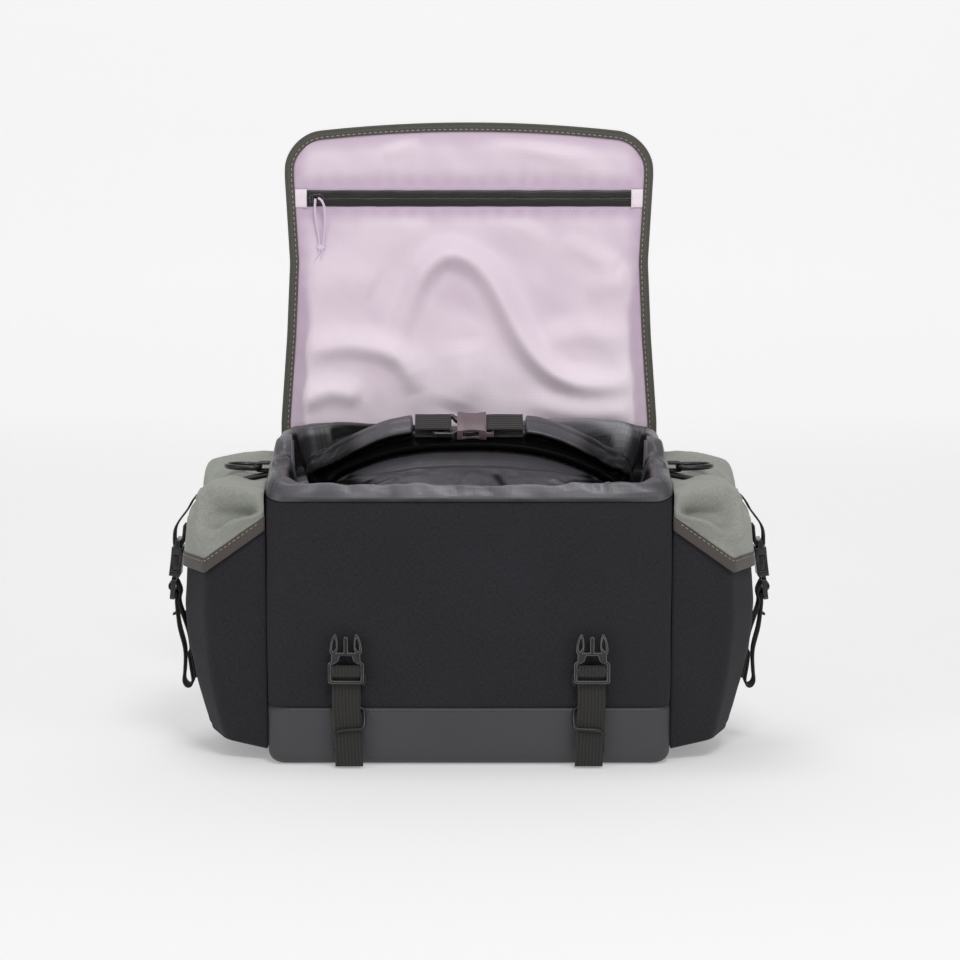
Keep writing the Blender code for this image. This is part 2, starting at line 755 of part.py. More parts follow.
def collar_grid():
    """Rings of points from the rim up over the crest and down to the slot that the roll closes."""
    rim = body_ring(SEAM_HEIGHT, 0, rim_height)
    grid = [[] for _ in (*COLLAR_RISE, *COLLAR_FALL)]
    for spot in rim:
        start = spot + UP * 2 * GAP
        end_x = spot.x / SIDE * SLOT_LENGTH / 2
        end_y = ROLL_BACK + spot.y / BACK * SLOT_WIDTH / 2
        end = Vector((end_x, end_y, roll_underside(end_x, end_y) - GAP))
        way, crest, floor = look_up(COLLAR_STATIONS, station_of(spot))
        crest_z = SEAM_HEIGHT + crest * COLLAR_HEIGHT
        floor_z = SEAM_HEIGHT + floor * COLLAR_HEIGHT
        profile = [(way * at, start.z + (crest_z - start.z) * rise) for at, rise in COLLAR_RISE]
        for at, fall, rise in COLLAR_FALL:
            bottom = floor_z + (end.z - floor_z) * rise
            profile.append((way + (1 - way) * at, crest_z + (bottom - crest_z) * fall))
        for line, (share, z) in zip(grid, profile):
            here = start.lerp(end, share)
            fade = smooth_step(share / (way * 0.3)) * smooth_step((1 - share) / 0.3)
            here.z = z + fade * fold_height(here.x, here.y, COLLAR_FOLDS, SIDE, BACK)
            if way < share < 1 and abs(here.y - ROLL_BACK) < ROLL_WIDTH:
                here.z = min(here.z, roll_underside(here.x, here.y) - 3 * GAP)
            line.append(here)
    return grid


def roll_line():
    """The roll from one clipped end, out to its fold, back under itself and up to the other end."""
    arm = []
    for share, down in ARM_LINE:
        x = ARM_END + (ROLL_END - ARM_END) * share
        low = SEAM_HEIGHT + ROLL_LIFT - ROLL_SAG + ROLL_THICKNESS * 1.5
        arm.append(Vector((x, 0, SEAM_HEIGHT + ARM_LIFT + (low - SEAM_HEIGHT - ARM_LIFT) * down)))
    turn_top = arm[-1]
    turn_x = turn_start()
    base_z = roll_height(turn_x)
    radius = (turn_top.z - base_z) / 2
    turn = [
        Vector((turn_x + radius * 1.1 * math.sin(a), 0, base_z + radius * (1 + math.cos(a))))
        for a in (math.radians(d) for d in (36, 72, 108, 144, 180))
    ]
    run = [Vector((x, 0, roll_height(x))) for x in reversed(slot_stations())]
    half = arm + turn + run[:-1]
    middle = run[-1:]
    mirrored = [Vector((-p.x, 0, p.z)) for p in reversed(half)]
    return [p + DEEP * ROLL_BACK for p in half + middle + mirrored]


def collar():
    place("collar", sheet_mesh("collar", collar_grid(), COLLAR_WALL, closed=True), "ripstop")
    lean = Vector((0, math.cos(math.radians(ROLL_TILT)), math.sin(math.radians(ROLL_TILT))))
    roll = ribbon_mesh("roll", roll_line(), lean, ROLL_WIDTH, ROLL_THICKNESS, crown=1.0)
    place("rolled_mouth", roll, "ripstop")


# Buckles, in their own frame: X across the webbing, Y along it, Z through the plate.
# The male half's frame starts at Y 0 and the clipped female half ends at BUCKLE_LENGTH.

def male_mesh():
    half = BUCKLE_HALF
    cut = 1.4 * MM
    edge = [(0, 0), (half - cut, 0), (half, cut), (half, HEAD_LOW - 1.3 * cut)]
    edge += [(half - cut, HEAD_LOW - 0.3 * cut)]
    rise = MALE_LENGTH - HEAD_LOW
    edge += [(x * half, HEAD_LOW + y * rise) for x, y in MALE_PRONG]
    low_slot = [(SLOT_HALF, MALE_FRAME), (SLOT_HALF, BAR_LOW)]
    low_slot += [(-x, y) for x, y in reversed(low_slot)]
    under_head = BAR_HIGH + 0.6 * (HEAD_LOW - BAR_HIGH)
    arch = [(SLOT_HALF, BAR_HIGH), (SLOT_HALF, under_head), (0.64 * half, under_head + 0.6 * MM)]
    arch += [(0.43 * half, HEAD_LOW), (0.33 * half, HEAD_LOW + 0.21 * rise)]
    arch += [(-x, y) for x, y in reversed(arch)]
    eyes = [[(side * x * half, HEAD_LOW + y * rise) for x, y in MALE_EYE] for side in (1, -1)]
    return plate_mesh("male", [both_sides(edge), low_slot, arch, *eyes], BUCKLE_PLATE)


def female_mesh():
    half = BUCKLE_HALF - CAVITY_ROOM
    low, high = FEMALE_START, BUCKLE_LENGTH
    edge = [(half - FEMALE_DIP * dip, low + (high - low) * up) for up, dip in FEMALE_SIDES]
    body = plate_mesh("female", [both_sides(edge)], BUCKLE_BODY)
    room = BUCKLE_PLATE / 2 + CAVITY_ROOM
    inner = MALE_PRONG[0][0] * BUCKLE_HALF + CAVITY_ROOM
    wide = BUCKLE_HALF * 2
    bar_low = high - FEMALE_BAR
    cavity_top = MALE_LENGTH + CAVITY_ROOM + MM
    prongs = MALE_LENGTH - HEAD_LOW
    window_low, window_high = HEAD_LOW + 0.26 * prongs, HEAD_LOW + 0.86 * prongs
    relief = BUCKLE_PLATE / 2
    cutters = [
        block_mesh("mouth", (-inner, low - MM, -room), (inner, cavity_top, room)),
        block_mesh("windows", (-wide, window_low, -room), (wide, window_high, room)),
        block_mesh("slot", (-SLOT_HALF, bar_low - FEMALE_SLOT, -wide), (SLOT_HALF, bar_low, wide)),
        block_mesh("over", (-wide, high - FEMALE_RELIEF, relief), (wide, high + MM, wide)),
        block_mesh("under", (-wide, high - FEMALE_RELIEF, -wide), (wide, high + MM, -relief)),
    ]
    return evaluated("female", body, cutters)


def in_male_slot(share):
    return MALE_FRAME + (BAR_LOW - MALE_FRAME) * share


def round_the_bar():
    """(through the plate, along) points of webbing that turns over the male half's bar."""
    over = BAR_HIGH + GAP + WEBBING
    return [(-0.74 * NEAR, over - 0.4 * MM), (0, over + 0.2 * MM), (0.74 * NEAR, over - 0.4 * MM)]


def male_webbing():
    """Webbing up behind the male half, over its bar and out again behind its lowest bar."""
    return [
        (-FAR, -4 * MM),
        (-FAR, MALE_FRAME + 1.8 * MM),
        (0.8 * MM - FAR, BAR_LOW - 1.1 * MM),
        (-NEAR - 0.2 * MM, BAR_HIGH - 0.6 * MM),
        *round_the_bar(),
        (NEAR + GAP, BAR_HIGH - 0.8 * MM),
        (0.91 * NEAR, in_male_slot(0.84)),
        (0.07 * NEAR, in_male_slot(0.58)),
        (-0.77 * NEAR, in_male_slot(0.34)),
        (-NEAR, in_male_slot(0.0)),
        (-NEAR, -2 * MM),
    ]


def male_loop(tail):
    """Webbing sewn back on itself round the bar, straddling the frame's lowest bar."""
    near = NEAR + GAP
    up = BAR_HIGH - 0.8 * MM
    return [(-near, -tail), (-near, up), *round_the_bar(), (near, up), (near, -tail)]


def female_loop(tail_inside, tail_outside):
    """Webbing round the female half's bar, as (through the plate, along)."""
    bar_low = BUCKLE_LENGTH - FEMALE_BAR
    near = NEAR + GAP
    middle = bar_low - FEMALE_SLOT / 2
    return [
        (-near, BUCKLE_LENGTH + tail_inside),
        (-near, bar_low - GAP),
        (-0.77 * NEAR, middle),
        (0.77 * NEAR, middle),
        (near, bar_low - GAP),
        (near, BUCKLE_LENGTH + tail_outside),
    ]


def in_frame(matrix, pairs):
    return [matrix @ Vector((0, along, through)) for through, along in pairs]


def roll_clip(shapes):
    """The buckle that joins the roll's two ends, with a tab of webbing on each."""
    tilt = math.radians(ROLL_TILT)
    wide = Vector((0, -math.cos(tilt), -math.sin(tilt)))
    along = ACROSS
    out = wide.cross(along)
    centre_z = SEAM_HEIGHT + ARM_LIFT
    start = Vector((-BUCKLE_LENGTH / 2 - 4 * MM, ROLL_BACK, centre_z))
    frame = Matrix.Translation(start) @ Matrix((wide, along, out)).transposed().to_4x4()
    place("roll_buckle_male", shapes["male"], "plastic", frame)
    place("roll_buckle_female", shapes["female"], "plastic", frame)
    reach_male = ARM_END + start.x - 5 * GAP
    reach_female = ARM_END - (start.x + BUCKLE_LENGTH) - 5 * GAP
    tabs = {
        "roll_webbing_left": male_loop(reach_male),
        "roll_webbing_right": female_loop(reach_female, reach_female),
    }
    for name, pairs in tabs.items():
        tab = ribbon_mesh(name, in_frame(frame, pairs), wide, WEBBING_WIDTH, WEBBING)
        place(name, tab, "webbing")


# Front straps


def front_strap(name, x, shapes):
    """Webbing sewn in at the base, up through the buckle's male half and down again as a tail."""
    inner = -1 if x > 0 else 1
    back_low = front_face(x, BAND_HEIGHT) - GAP - WEBBING / 2
    keeper = KEEPER_WIRE * 2
    back_line = front_face(x, FRONT_BUCKLE_LOW) - GAP - WEBBING / 2 - 0.6 * MM
    plate = back_line - FAR
    turned = Matrix((ACROSS, UP, -DEEP)).transposed().to_4x4()
    frame = Matrix.Translation(Vector((x, plate, FRONT_BUCKLE_LOW))) @ turned
    place(name + "_buckle", shapes["male"], "plastic", frame)
    kept = back_low - keeper - GAP - 0.2 * MM
    through = in_frame(frame, male_webbing())
    keeper_top = KEEPER_HEIGHT + KEEPER_RISE
    back = [
        Vector((x, front_face(x, 2 * BASE_ROUND) - 2 * GAP - WEBBING / 2, BASE_ROUND + 1 * MM)),
        Vector((x, kept, KEEPER_HEIGHT - 2 * MM)),
        Vector((x, kept, keeper_top + 3 * MM)),
    ]
    tail_y = kept - WEBBING - 1.4 * MM
    tail = [
        Vector((x, tail_y, keeper_top)),
        Vector((x + inner * TAIL_LEAN / 2, tail_y - 0.6 * MM, KEEPER_HEIGHT - 6 * MM)),
        Vector((x + inner * TAIL_LEAN, tail_y - 2.5 * MM, 1.2 * MM)),
    ]
    strap = ribbon_mesh(name, back + through + tail, ACROSS, WEBBING_WIDTH, WEBBING)
    place(name, strap, "webbing")
    half = WEBBING_WIDTH / 2
    wire_front = tail_y - WEBBING / 2 - GAP - KEEPER_WIRE - 0.5 * MM
    wire_back = kept + WEBBING / 2 + GAP + KEEPER_WIRE
    # across from the strap's middle towards the bag's middle, back, up
    bends = (
        (-half + 2.6 * MM, wire_front - 0.2 * MM, KEEPER_HEIGHT - 1.6 * MM),
        (-half + 6 * MM, wire_front, KEEPER_HEIGHT),
        (half + 1.2 * MM, wire_front, KEEPER_HEIGHT),
        (half + 2.8 * MM, wire_front + 0.6 * MM, KEEPER_HEIGHT + 1.5 * MM),
        (half + 3 * MM, (wire_front + wire_back) / 2, KEEPER_HEIGHT + 6 * MM),
        (half + 2.8 * MM, wire_back - 0.6 * MM, keeper_top - 2 * MM),
        (half + 1.2 * MM, wire_back + 0.2 * MM, keeper_top),
        (-half + 2 * MM, wire_back, keeper_top),
    )
    route = [Vector((x + inner * a, y, z)) for a, y, z in bends]
    place(name + "_keeper", wire_mesh(name + "_keeper", route, KEEPER_WIRE, 8), "plastic")
    clip_low, clip_high = FRONT_BUCKLE_LOW - 2 * MM, FRONT_BUCKLE_LOW + 7 * MM
    clip_y = plate + NEAR + 1 * MM
    clip_in = half + GAP + KEEPER_WIRE * 0.7
    clip = (
        (clip_in, clip_low),
        (clip_in + 1.6 * MM, clip_low + 0.6 * MM),
        (clip_in + 2.4 * MM, clip_low + 2.4 * MM),
        (clip_in + 2.4 * MM, clip_high - 2.4 * MM),
        (clip_in + 1.6 * MM, clip_high - 0.6 * MM),
        (clip_in, clip_high),
    )
    route = [Vector((x + inner * a, clip_y, z)) for a, z in clip]
    wire = wire_mesh(name + "_clip", route, KEEPER_WIRE * 0.7, 8)
    place(name + "_clip", wire, "plastic")


# Side pockets. Everything is worked out for the right-hand pocket, then mirrored.


def pocket_shares(z):
    return look_up(POCKET_SECTIONS, (z - POCKET_BASE) / (SECTION_TOP - POCKET_BASE))


def pocket_line(reach, half_length, offset):
    """The pocket's outline in plan, open at the main bag's side, moved out by an offset."""
    plain = [Vector((out * reach, along * half_length)) for out, along, _ in POCKET_PLAN]
    walls = [(b - a).normalized() for a, b in zip(plain, plain[1:])]
    corners = []
    for i, spot in enumerate(plain):
        sides = [Vector((wall.y, -wall.x)) for wall in walls[max(i - 1, 0) : i + 1]]
        if len(sides) == 1:
            moved = spot + Vector((0, offset / sides[0].y))
        else:
            middle = (sides[0] + sides[1]).normalized()
            moved = spot + middle * (offset / middle.dot(sides[0]))
        rounding = POCKET_PLAN[i][2] * POCKET_REACH
        corners.append((*moved, rounding + offset if rounding else 0.0))
    return filled_in(rounded_polygon(corners, 3, closed=False), {0: 4, 4: 2, 8: 4, 12: 2, 16: 4})


def pocket_ring(z, offset, mirror, bottom=False):
    """A closed ring: the outline and the straight inner side against the main bag."""
    reach, length = pocket_shares(z)
    line = pocket_line(POCKET_REACH * reach, POCKET_LENGTH / 2 * length, offset)
    inner = GAP - offset if offset < 0 else GAP
    closing = filled_in([line[-1], line[0]], {0: 5})[1:-1]
    ring = []
    for spot in line + closing:
        rise = POCKET_RISE * spot.x / POCKET_REACH if bottom else 0.0
        out = max(inner, GAP + spot.x)
        ring.append(Vector((mirror * (SIDE + out), spot.y, z + rise)))
    return ring


def flap_edge(share):
    """The height of the flap's lower edge: 0 at the main bag, 1 from the front corner round the outside."""
    return FLAP_HIGH + (FLAP_LOW - FLAP_HIGH) * min(1.0, share)


def flap_columns():
    """For each column round the flap: how far the lower edge has come down, and how far back it is."""
    line = pocket_line(POCKET_REACH, POCKET_LENGTH / 2, 0)
    turn = POCKET_PLAN[1][0] * POCKET_REACH
    middle = len(line) // 2
    columns = []
    for i, spot in enumerate(line):
        share = min(1.0, spot.x / turn)
        columns.append((share, spot.y / (POCKET_LENGTH / 2), i <= middle))
    return columns


def off_strap(along):
    """0 under the strap, 1 towards the pocket's corners."""
    return smooth_step((abs(along) - 0.30) / 0.45)


def flap_row(height, offset, pulled_in=1.0):
    """One row round the flap: its height as a function of a column, and how far in its middle is pulled."""
    points = []
    for i, column in enumerate(flap_columns()):
        z = height(*column)
        reach, length = pocket_shares(z)
        reach *= pulled_in + (1 - pulled_in) * 0.9 * off_strap(column[1])
        line = pocket_line(POCKET_REACH * reach, POCKET_LENGTH / 2 * length, offset)
        points.append(Vector((SIDE + GAP * 2 + max(line[i].x, 0.0), line[i].y, z)))
    return points


def seam_height(y, along):
    """Where the flap's top meets the main bag."""
    return rim_height(y) - FLAP_DROP - STRAP_DROP * (1 - off_strap(along))


def shoulder_height(share, along, in_front):
    """The flap's top edge: pulled down under the strap, higher at the corners and at the back."""
    corner = SIDE_TOP - CORNER_DROP + (0.0 if in_front else REAR_LIFT)
    outer = SIDE_TOP - SHOULDER_DROP
    outer += (corner - outer) * off_strap(along)
    root = rim_height(along * POCKET_LENGTH / 2) - 2 * FLAP_DROP
    return root + (outer - root) * min(1.0, share * 1.2)


def flap_grid():
    """The flap's cloth from above its binding, up over the shoulder and across to the main bag."""
    offset = FLAP_ROOM + FLAP_WALL
    start = FLAP_BINDING + 3 * GAP

    def level(share):
        def height(down, along, in_front):
            low = flap_edge(down) + start
            return low + (shoulder_height(down, along, in_front) - low) * share

        return height

    rows = [flap_row(level(share), offset, pulled_in) for share, pulled_in in FLAP_ROWS]
    edge = rows[-1]
    flat = STRAP_ROOM / (POCKET_LENGTH / 2)
    for share in (0.35, 0.7, 1.0):
        line = []
        for spot, (down, along, in_front) in zip(edge, flap_columns()):
            y = math.copysign(max(0.0, abs(along) - flat), along) * POCKET_LENGTH / 2
            root = Vector((SIDE + GAP * 2, spot.y * 0.92, seam_height(y, along)))
            here = spot.lerp(root, share)
            here.z += math.sin(math.pi * share) * (1.5 * MM + 3 * MM * off_strap(along))
            line.append(here)
        rows.append(line)
    return rows


def mirrored(points, mirror):
    return [Vector((mirror * p.x, p.y, p.z)) for p in points]


def side_frame(mirror):
    """The frame of a pocket's clipped buckle: X across the webbing, Y up, Z away from the bag."""
    tilt = math.radians(SIDE_BUCKLE_TILT)
    along = Vector((-mirror * math.sin(tilt), 0, math.cos(tilt)))
    out = Vector((mirror * math.cos(tilt), 0, math.sin(tilt)))
    wide = along.cross(out)
    at = Vector((mirror * (SIDE + POCKET_REACH + SIDE_BUCKLE_OUT), 0, SIDE_BUCKLE_LOW))
    return Matrix.Translation(at) @ Matrix((wide, along, out)).transposed().to_4x4()


def wall_x(z):
    """How far out the pocket's outer wall is in its middle."""
    return SIDE + GAP + POCKET_REACH * pocket_shares(z)[0]


def pocket(side, mirror, shapes):
    levels = [POCKET_BASE + (POCKET_MOUTH - POCKET_BASE) * share for share in POCKET_LEVELS]
    outside = [pocket_ring(POCKET_BASE, -POCKET_ROUND, mirror, bottom=True)]
    outside += [pocket_ring(POCKET_BASE + 1.2 * POCKET_ROUND, 0, mirror, bottom=True)]
    outside += [pocket_ring(z, 0, mirror) for z in levels[1:]]
    floor = POCKET_BASE + POCKET_WALL
    inside = [pocket_ring(z, -POCKET_WALL, mirror) for z in (levels[-1], levels[3], levels[1])]
    inside += [pocket_ring(floor, -POCKET_ROUND - POCKET_WALL, mirror, bottom=True)]
    name = f"pocket_{side}"
    place(name, cup_mesh(name, outside + inside), "weave")

    grid = flap_grid()
    name = f"flap_{side}"
    cloth = [mirrored(line, mirror) for line in grid]
    place(name, sheet_mesh(name, cloth, FLAP_WALL * mirror), "canvas")

    proud = FLAP_ROOM + FLAP_WALL + BINDING_STEP
    edge = [
        flap_row(lambda down, along, in_front, up=up: flap_edge(down) + up, proud)
        for up in (0.0, FLAP_BINDING)
    ]
    wall = FLAP_WALL + BINDING_STEP + FLAP_ROOM / 2
    name = f"flap_binding_{side}"
    cloth = [mirrored(line, mirror) for line in edge]
    place(name, sheet_mesh(name, cloth, wall * mirror), "binding")

    frame = side_frame(mirror)
    place(f"side_buckle_male_{side}", shapes["male"], "plastic", frame)
    place(f"side_buckle_female_{side}", shapes["female"], "plastic", frame)

    middle = len(grid[0]) // 2
    lift = 3 * GAP + WEBBING / 2
    over = [line[middle] for line in reversed(grid)][:-2]
    over = [Vector((p.x, 0, p.z)) for p in over]
    over[0].x = SIDE + GAP * 2
    raised = [p + out * lift for p, out in zip(over, side_directions(over, DEEP))]
    loop = in_frame(frame, female_loop(11 * MM, 9 * MM))
    route = mirrored(raised, mirror) + list(reversed(loop))
    name = f"flap_strap_{side}"
    place(name, ribbon_mesh(name, route, DEEP, WEBBING_WIDTH, WEBBING), "webbing")

    on_wall = GAP + WEBBING / 2 + 0.4 * MM
    up_to_buckle = SIDE_BUCKLE_LOW - STRAP_ANCHOR
    anchored = [
        Vector((wall_x(z) + on_wall, 0, z))
        for z in (STRAP_ANCHOR + up_to_buckle * share for share in (0.0, 0.27, 0.58))
    ]
    through = in_frame(frame, male_webbing())
    low_x, rise = wall_x(STRAP_ANCHOR), SIDE_BUCKLE_LOW - TAIL_LOW
    tail = [
        Vector((low_x + out * SIDE_BUCKLE_OUT, 0, TAIL_LOW + up * rise)) for out, up in SIDE_TAIL
    ]
    route = mirrored(anchored, mirror) + through + mirrored(tail, mirror)
    name = f"side_strap_{side}"
    place(name, ribbon_mesh(name, route, DEEP, WEBBING_WIDTH, WEBBING), "webbing")
    high = (through[0] + through[-1]) / 2
    low = (route[len(anchored) - 1] + route[-len(tail)]) / 2
    side_keeper(side, mirror, high, low)
    side_ring(side, mirror)


def side_keeper(side, mirror, high, low):
    """A bent clip round both runs of the strap, just under the buckle."""
    down = (low - high).normalized()
    out = down.cross(DEEP) * mirror
    middle = high.lerp(low, 0.45)
    half = WEBBING_WIDTH / 2
    away = (FAR - NEAR) * 0.75 + WEBBING / 2 + 2 * GAP + KEEPER_WIRE
    # away from the strap's face, along its width, down it
    bends = (
        (away, -half + 1 * MM, -1.5 * MM),
        (away, half, 0),
        (away - 0.6 * MM, half + 2.4 * MM, 1 * MM),
        (-away + 0.6 * MM, half + 2.4 * MM, 1.6 * MM),
        (-away, half, 2.4 * MM),
        (-away, -half + 2 * MM, 2.4 * MM),
    )
    route = [middle + out * a + DEEP * y + down * d for a, y, d in bends]
    name = f"side_keeper_{side}"
    place(name, wire_mesh(name, route, KEEPER_WIRE, 8), "plastic")


def side_ring(side, mirror):
    """A D-ring on a webbing tab, lying out over the flap."""
    bar_x = SIDE + TAB_REACH
    wrap = RING_WIRE + GAP + WEBBING / 2
    bar_z = rim_height(0) - 1.6 * MM
    corner = RING_CORNER
    straight = RING_WIDTH / 2 - 1.25 * corner
    plan = [(0, -straight), (0, straight)]
    plan += [(corner * 0.4, straight + corner * 0.85), (corner * 1.2, straight + corner * 1.15)]
    bow = RING_LENGTH - corner * 1.2
    half = straight + corner * 1.15
    arc = [math.radians(d) for d in (72, 54, 34, 12, -12, -34, -54, -72)]
    plan += [(corner * 1.2 + bow * math.cos(a) ** 0.8, half * math.sin(a)) for a in arc]
    plan += [(corner * 1.2, -half), (corner * 0.4, -straight - corner * 0.85)]
    tilt = math.radians(RING_TILT)
    route = [
        Vector((mirror * (bar_x + out * math.cos(tilt)), y + RING_BACK, bar_z + out * math.sin(tilt)))
        for out, y in plan
    ]
    name = f"d_ring_{side}"
    place(name, wire_mesh(name, route, RING_WIRE, 8, cyclic=True), "plastic")
    root = SIDE + GAP * 4
    turn = [math.radians(d) for d in (90, 60, 30, 0, -30, -60, -90)]
    line = [(root, bar_z + wrap)]
    line += [(bar_x + wrap * math.cos(a), bar_z + wrap * math.sin(a)) for a in turn]
    line += [(root, bar_z - wrap)]
    tab_width = 2 * straight - 1 * MM
    route = [Vector((mirror * x, RING_BACK, z)) for x, z in line]
    name = f"ring_tab_{side}"
    place(name, ribbon_mesh(name, route, DEEP, tab_width, WEBBING), "webbing")


# Lid


def lid_plane(z):
    """How far back the lining's flat face is at a height."""
    return BACK + GAP + (z - LID_HEM) * math.tan(math.radians(LID_LEAN))


def lid_half(z, inset):
    """Half the lid's width at a height, in from its edge by an inset, with the top corners round."""
    share = (z - LID_HEM) / (LID_TOP - LID_HEM)
    side = LID_WIDTH / 2 * look_up(LID_WAIST, share)[0]
    radius = LID_CORNER - inset
    above = z - (LID_TOP - LID_CORNER)
    if above <= 0:
        return side - inset
    return side - LID_CORNER + math.sqrt(max(0.0, radius**2 - above**2))


def lining_bulge(x, z):
    """How far the loose lining stands forward of its flat face."""
    half = LID_WIDTH / 2
    height = LID_TOP - LID_HEM
    total = 0.0
    for across, up, degrees, length, width, depth in LINING_FOLDS:
        turn = math.radians(degrees)
        dx, dz = x - across * half, z - (LID_HEM + up * height)
        along = (dx * math.cos(turn) + dz * math.sin(turn)) / (length * LID_WIDTH)
        beside = (dz * math.cos(turn) - dx * math.sin(turn)) / (width * LID_WIDTH)
        total += depth * math.exp(-along * along - beside * beside)
    from_zip = abs(z - (LID_TOP - ZIP_HEIGHT)) - ZIP_WIDTH / 2
    from_edge = min(half * 0.96 - BINDING_WIDTH - abs(x), LID_TOP - BINDING_WIDTH - z)
    from_hem = z - SIDE_TOP
    held = smooth_step((from_zip - ZIP_MARGIN) / FOLD_FADE) * smooth_step(from_edge / FOLD_FADE)
    return LINING_BULGE * total * held * smooth_step(from_hem / FOLD_FADE)


def crown(x, z):
    """The lid's top edge is bowed a little upwards."""
    share = smooth_step((z - (LID_TOP - 2 * LID_CORNER)) / (2 * LID_CORNER))
    return LID_CROWN * share * (1 - (x / (LID_WIDTH / 2 - LID_CORNER)) ** 2) if share else 0.0


def lid_grid(inset, columns, behind, bulge):
    top = LID_TOP - inset
    round_low = LID_TOP - LID_CORNER
    radius = LID_CORNER - inset
    steps = 12
    levels = [LID_HEM + (round_low - LID_HEM) * i / steps for i in range(steps + 1)]
    levels += [round_low + radius * math.sin(math.radians(d)) for d in (30, 55, 75)] + [top]
    grid = []
    for z in levels:
        half = lid_half(min(z, top - 0.05 * MM), inset)
        line = []
        for i in range(columns + 1):
            x = half * (2 * i / columns - 1)
            forward = lining_bulge(x, z) if bulge else 0.0
            line.append(Vector((x, lid_plane(z) + behind - forward, z + crown(x, z))))
        grid.append(line)
    return grid


def lid_outline(inset, foot):
    """Points up the lid's left edge, over the top and down its right edge."""
    round_low = LID_TOP - LID_CORNER
    radius = LID_CORNER - inset
    left = [foot + (round_low - foot) * i / 9 for i in range(9)]
    half = []
    for z in left:
        half.append(Vector((-lid_half(z, inset), lid_plane(z), z)))
    centre_x = lid_half(round_low, 0) - LID_CORNER
    for d in (0, 18, 36, 54, 72, 90):
        turn = math.radians(d)
        x, z = -centre_x - radius * math.cos(turn), round_low + radius * math.sin(turn)
        half.append(Vector((x, lid_plane(z), z + crown(x, z))))
    top = LID_TOP - inset
    for i in range(1, 6):
        x = -centre_x * (1 - i / 5)
        half.append(Vector((x, lid_plane(top), top + crown(x, top))))
    right = [Vector((-p.x, p.y, p.z)) for p in reversed(half[:-1])]
    return half + right


def lid(shapes):
    inset = BINDING_WIDTH + 2 * GAP
    cloth = lid_grid(inset, 16, 0.0, bulge=True)
    place("lid_lining", sheet_mesh("lid_lining", cloth, LINING_WALL), "lining")
    cover_at = LINING_WALL + GAP
    cloth = lid_grid(inset, 6, cover_at, bulge=False)
    place("lid_cover", sheet_mesh("lid_cover", cloth, LID_WALL), "coated")

    stack = LINING_WALL + GAP + LID_WALL
    forward = (BINDING_THICKNESS - stack) / 2
    foot = SEAM_HEIGHT + RIM_RISE / 2
    rows = [
        [p - DEEP * forward for p in lid_outline(edge, foot)]
        for edge in (BINDING_WIDTH, 0.0)
    ]
    binding = sheet_mesh("lid_binding", rows, BINDING_THICKNESS)
    place("lid_binding", binding, "edging")

    zip_z = LID_TOP - ZIP_HEIGHT
    rows = []
    for z in (zip_z - ZIP_WIDTH / 2, zip_z, zip_z + ZIP_WIDTH / 2):
        y = lid_plane(z) - GAP - ZIP_WALL
        line = [Vector((ZIP_LENGTH * (i / 8 - 0.5), y, z)) for i in range(9)]
        rows.append(line)
    place("lid_zip", sheet_mesh("lid_zip", rows, ZIP_WALL), "zip")
    slider_x = -ZIP_LENGTH / 2 + SLIDER_INSET
    face = lid_plane(zip_z) - GAP * 2 - ZIP_WALL
    outlines = [[(x * ZIP_WIDTH, y * ZIP_WIDTH) for x, y in line] for line in (SLIDER_EDGE, SLIDER_HOLE)]
    slider = plate_mesh("slider", outlines, SLIDER_WALL)
    turned = Matrix((ACROSS, UP, -DEEP)).transposed().to_4x4()
    at = Matrix.Translation(Vector((slider_x, face - SLIDER_WALL / 2 - GAP, zip_z))) @ turned
    place("zip_slider", slider, "plastic", at)
    zip_pull(slider_x, face, zip_z)

    for side, mirror in (("left", -1), ("right", 1)):
        lid_strap(side, mirror * FRONT_STRAP_X, stack, shapes)


def zip_pull(x, face, z):
    """A loop of thin cord through the slider's eye, held by a knot, with two short ends."""
    at = Vector((x, face - 0.2 * MM, z))

    def spots(rows):
        return [at + Vector((a * MM, -forward * MM, up * MM)) for a, forward, up in rows]

    strands = {
        "pull_cord_a": PULL_LEFT,
        "pull_cord_b": PULL_RIGHT,
        "pull_end_a": TAIL_LEFT,
        "pull_end_b": TAIL_RIGHT,
    }
    for name, rows in strands.items():
        cord(name, spots(rows))
    shell = bmesh.new()
    bmesh.ops.create_uvsphere(shell, u_segments=10, v_segments=6, radius=1)
    centre = spots([PULL_KNOT])[0]
    for vert in shell.verts:
        vert.co = centre + Vector(a * b for a, b in zip(vert.co, KNOT_SIZE))
    knot = bpy.data.meshes.new("pull_knot")
    shell.to_mesh(knot)
    shell.free()
    place("pull_knot", knot, "cord")


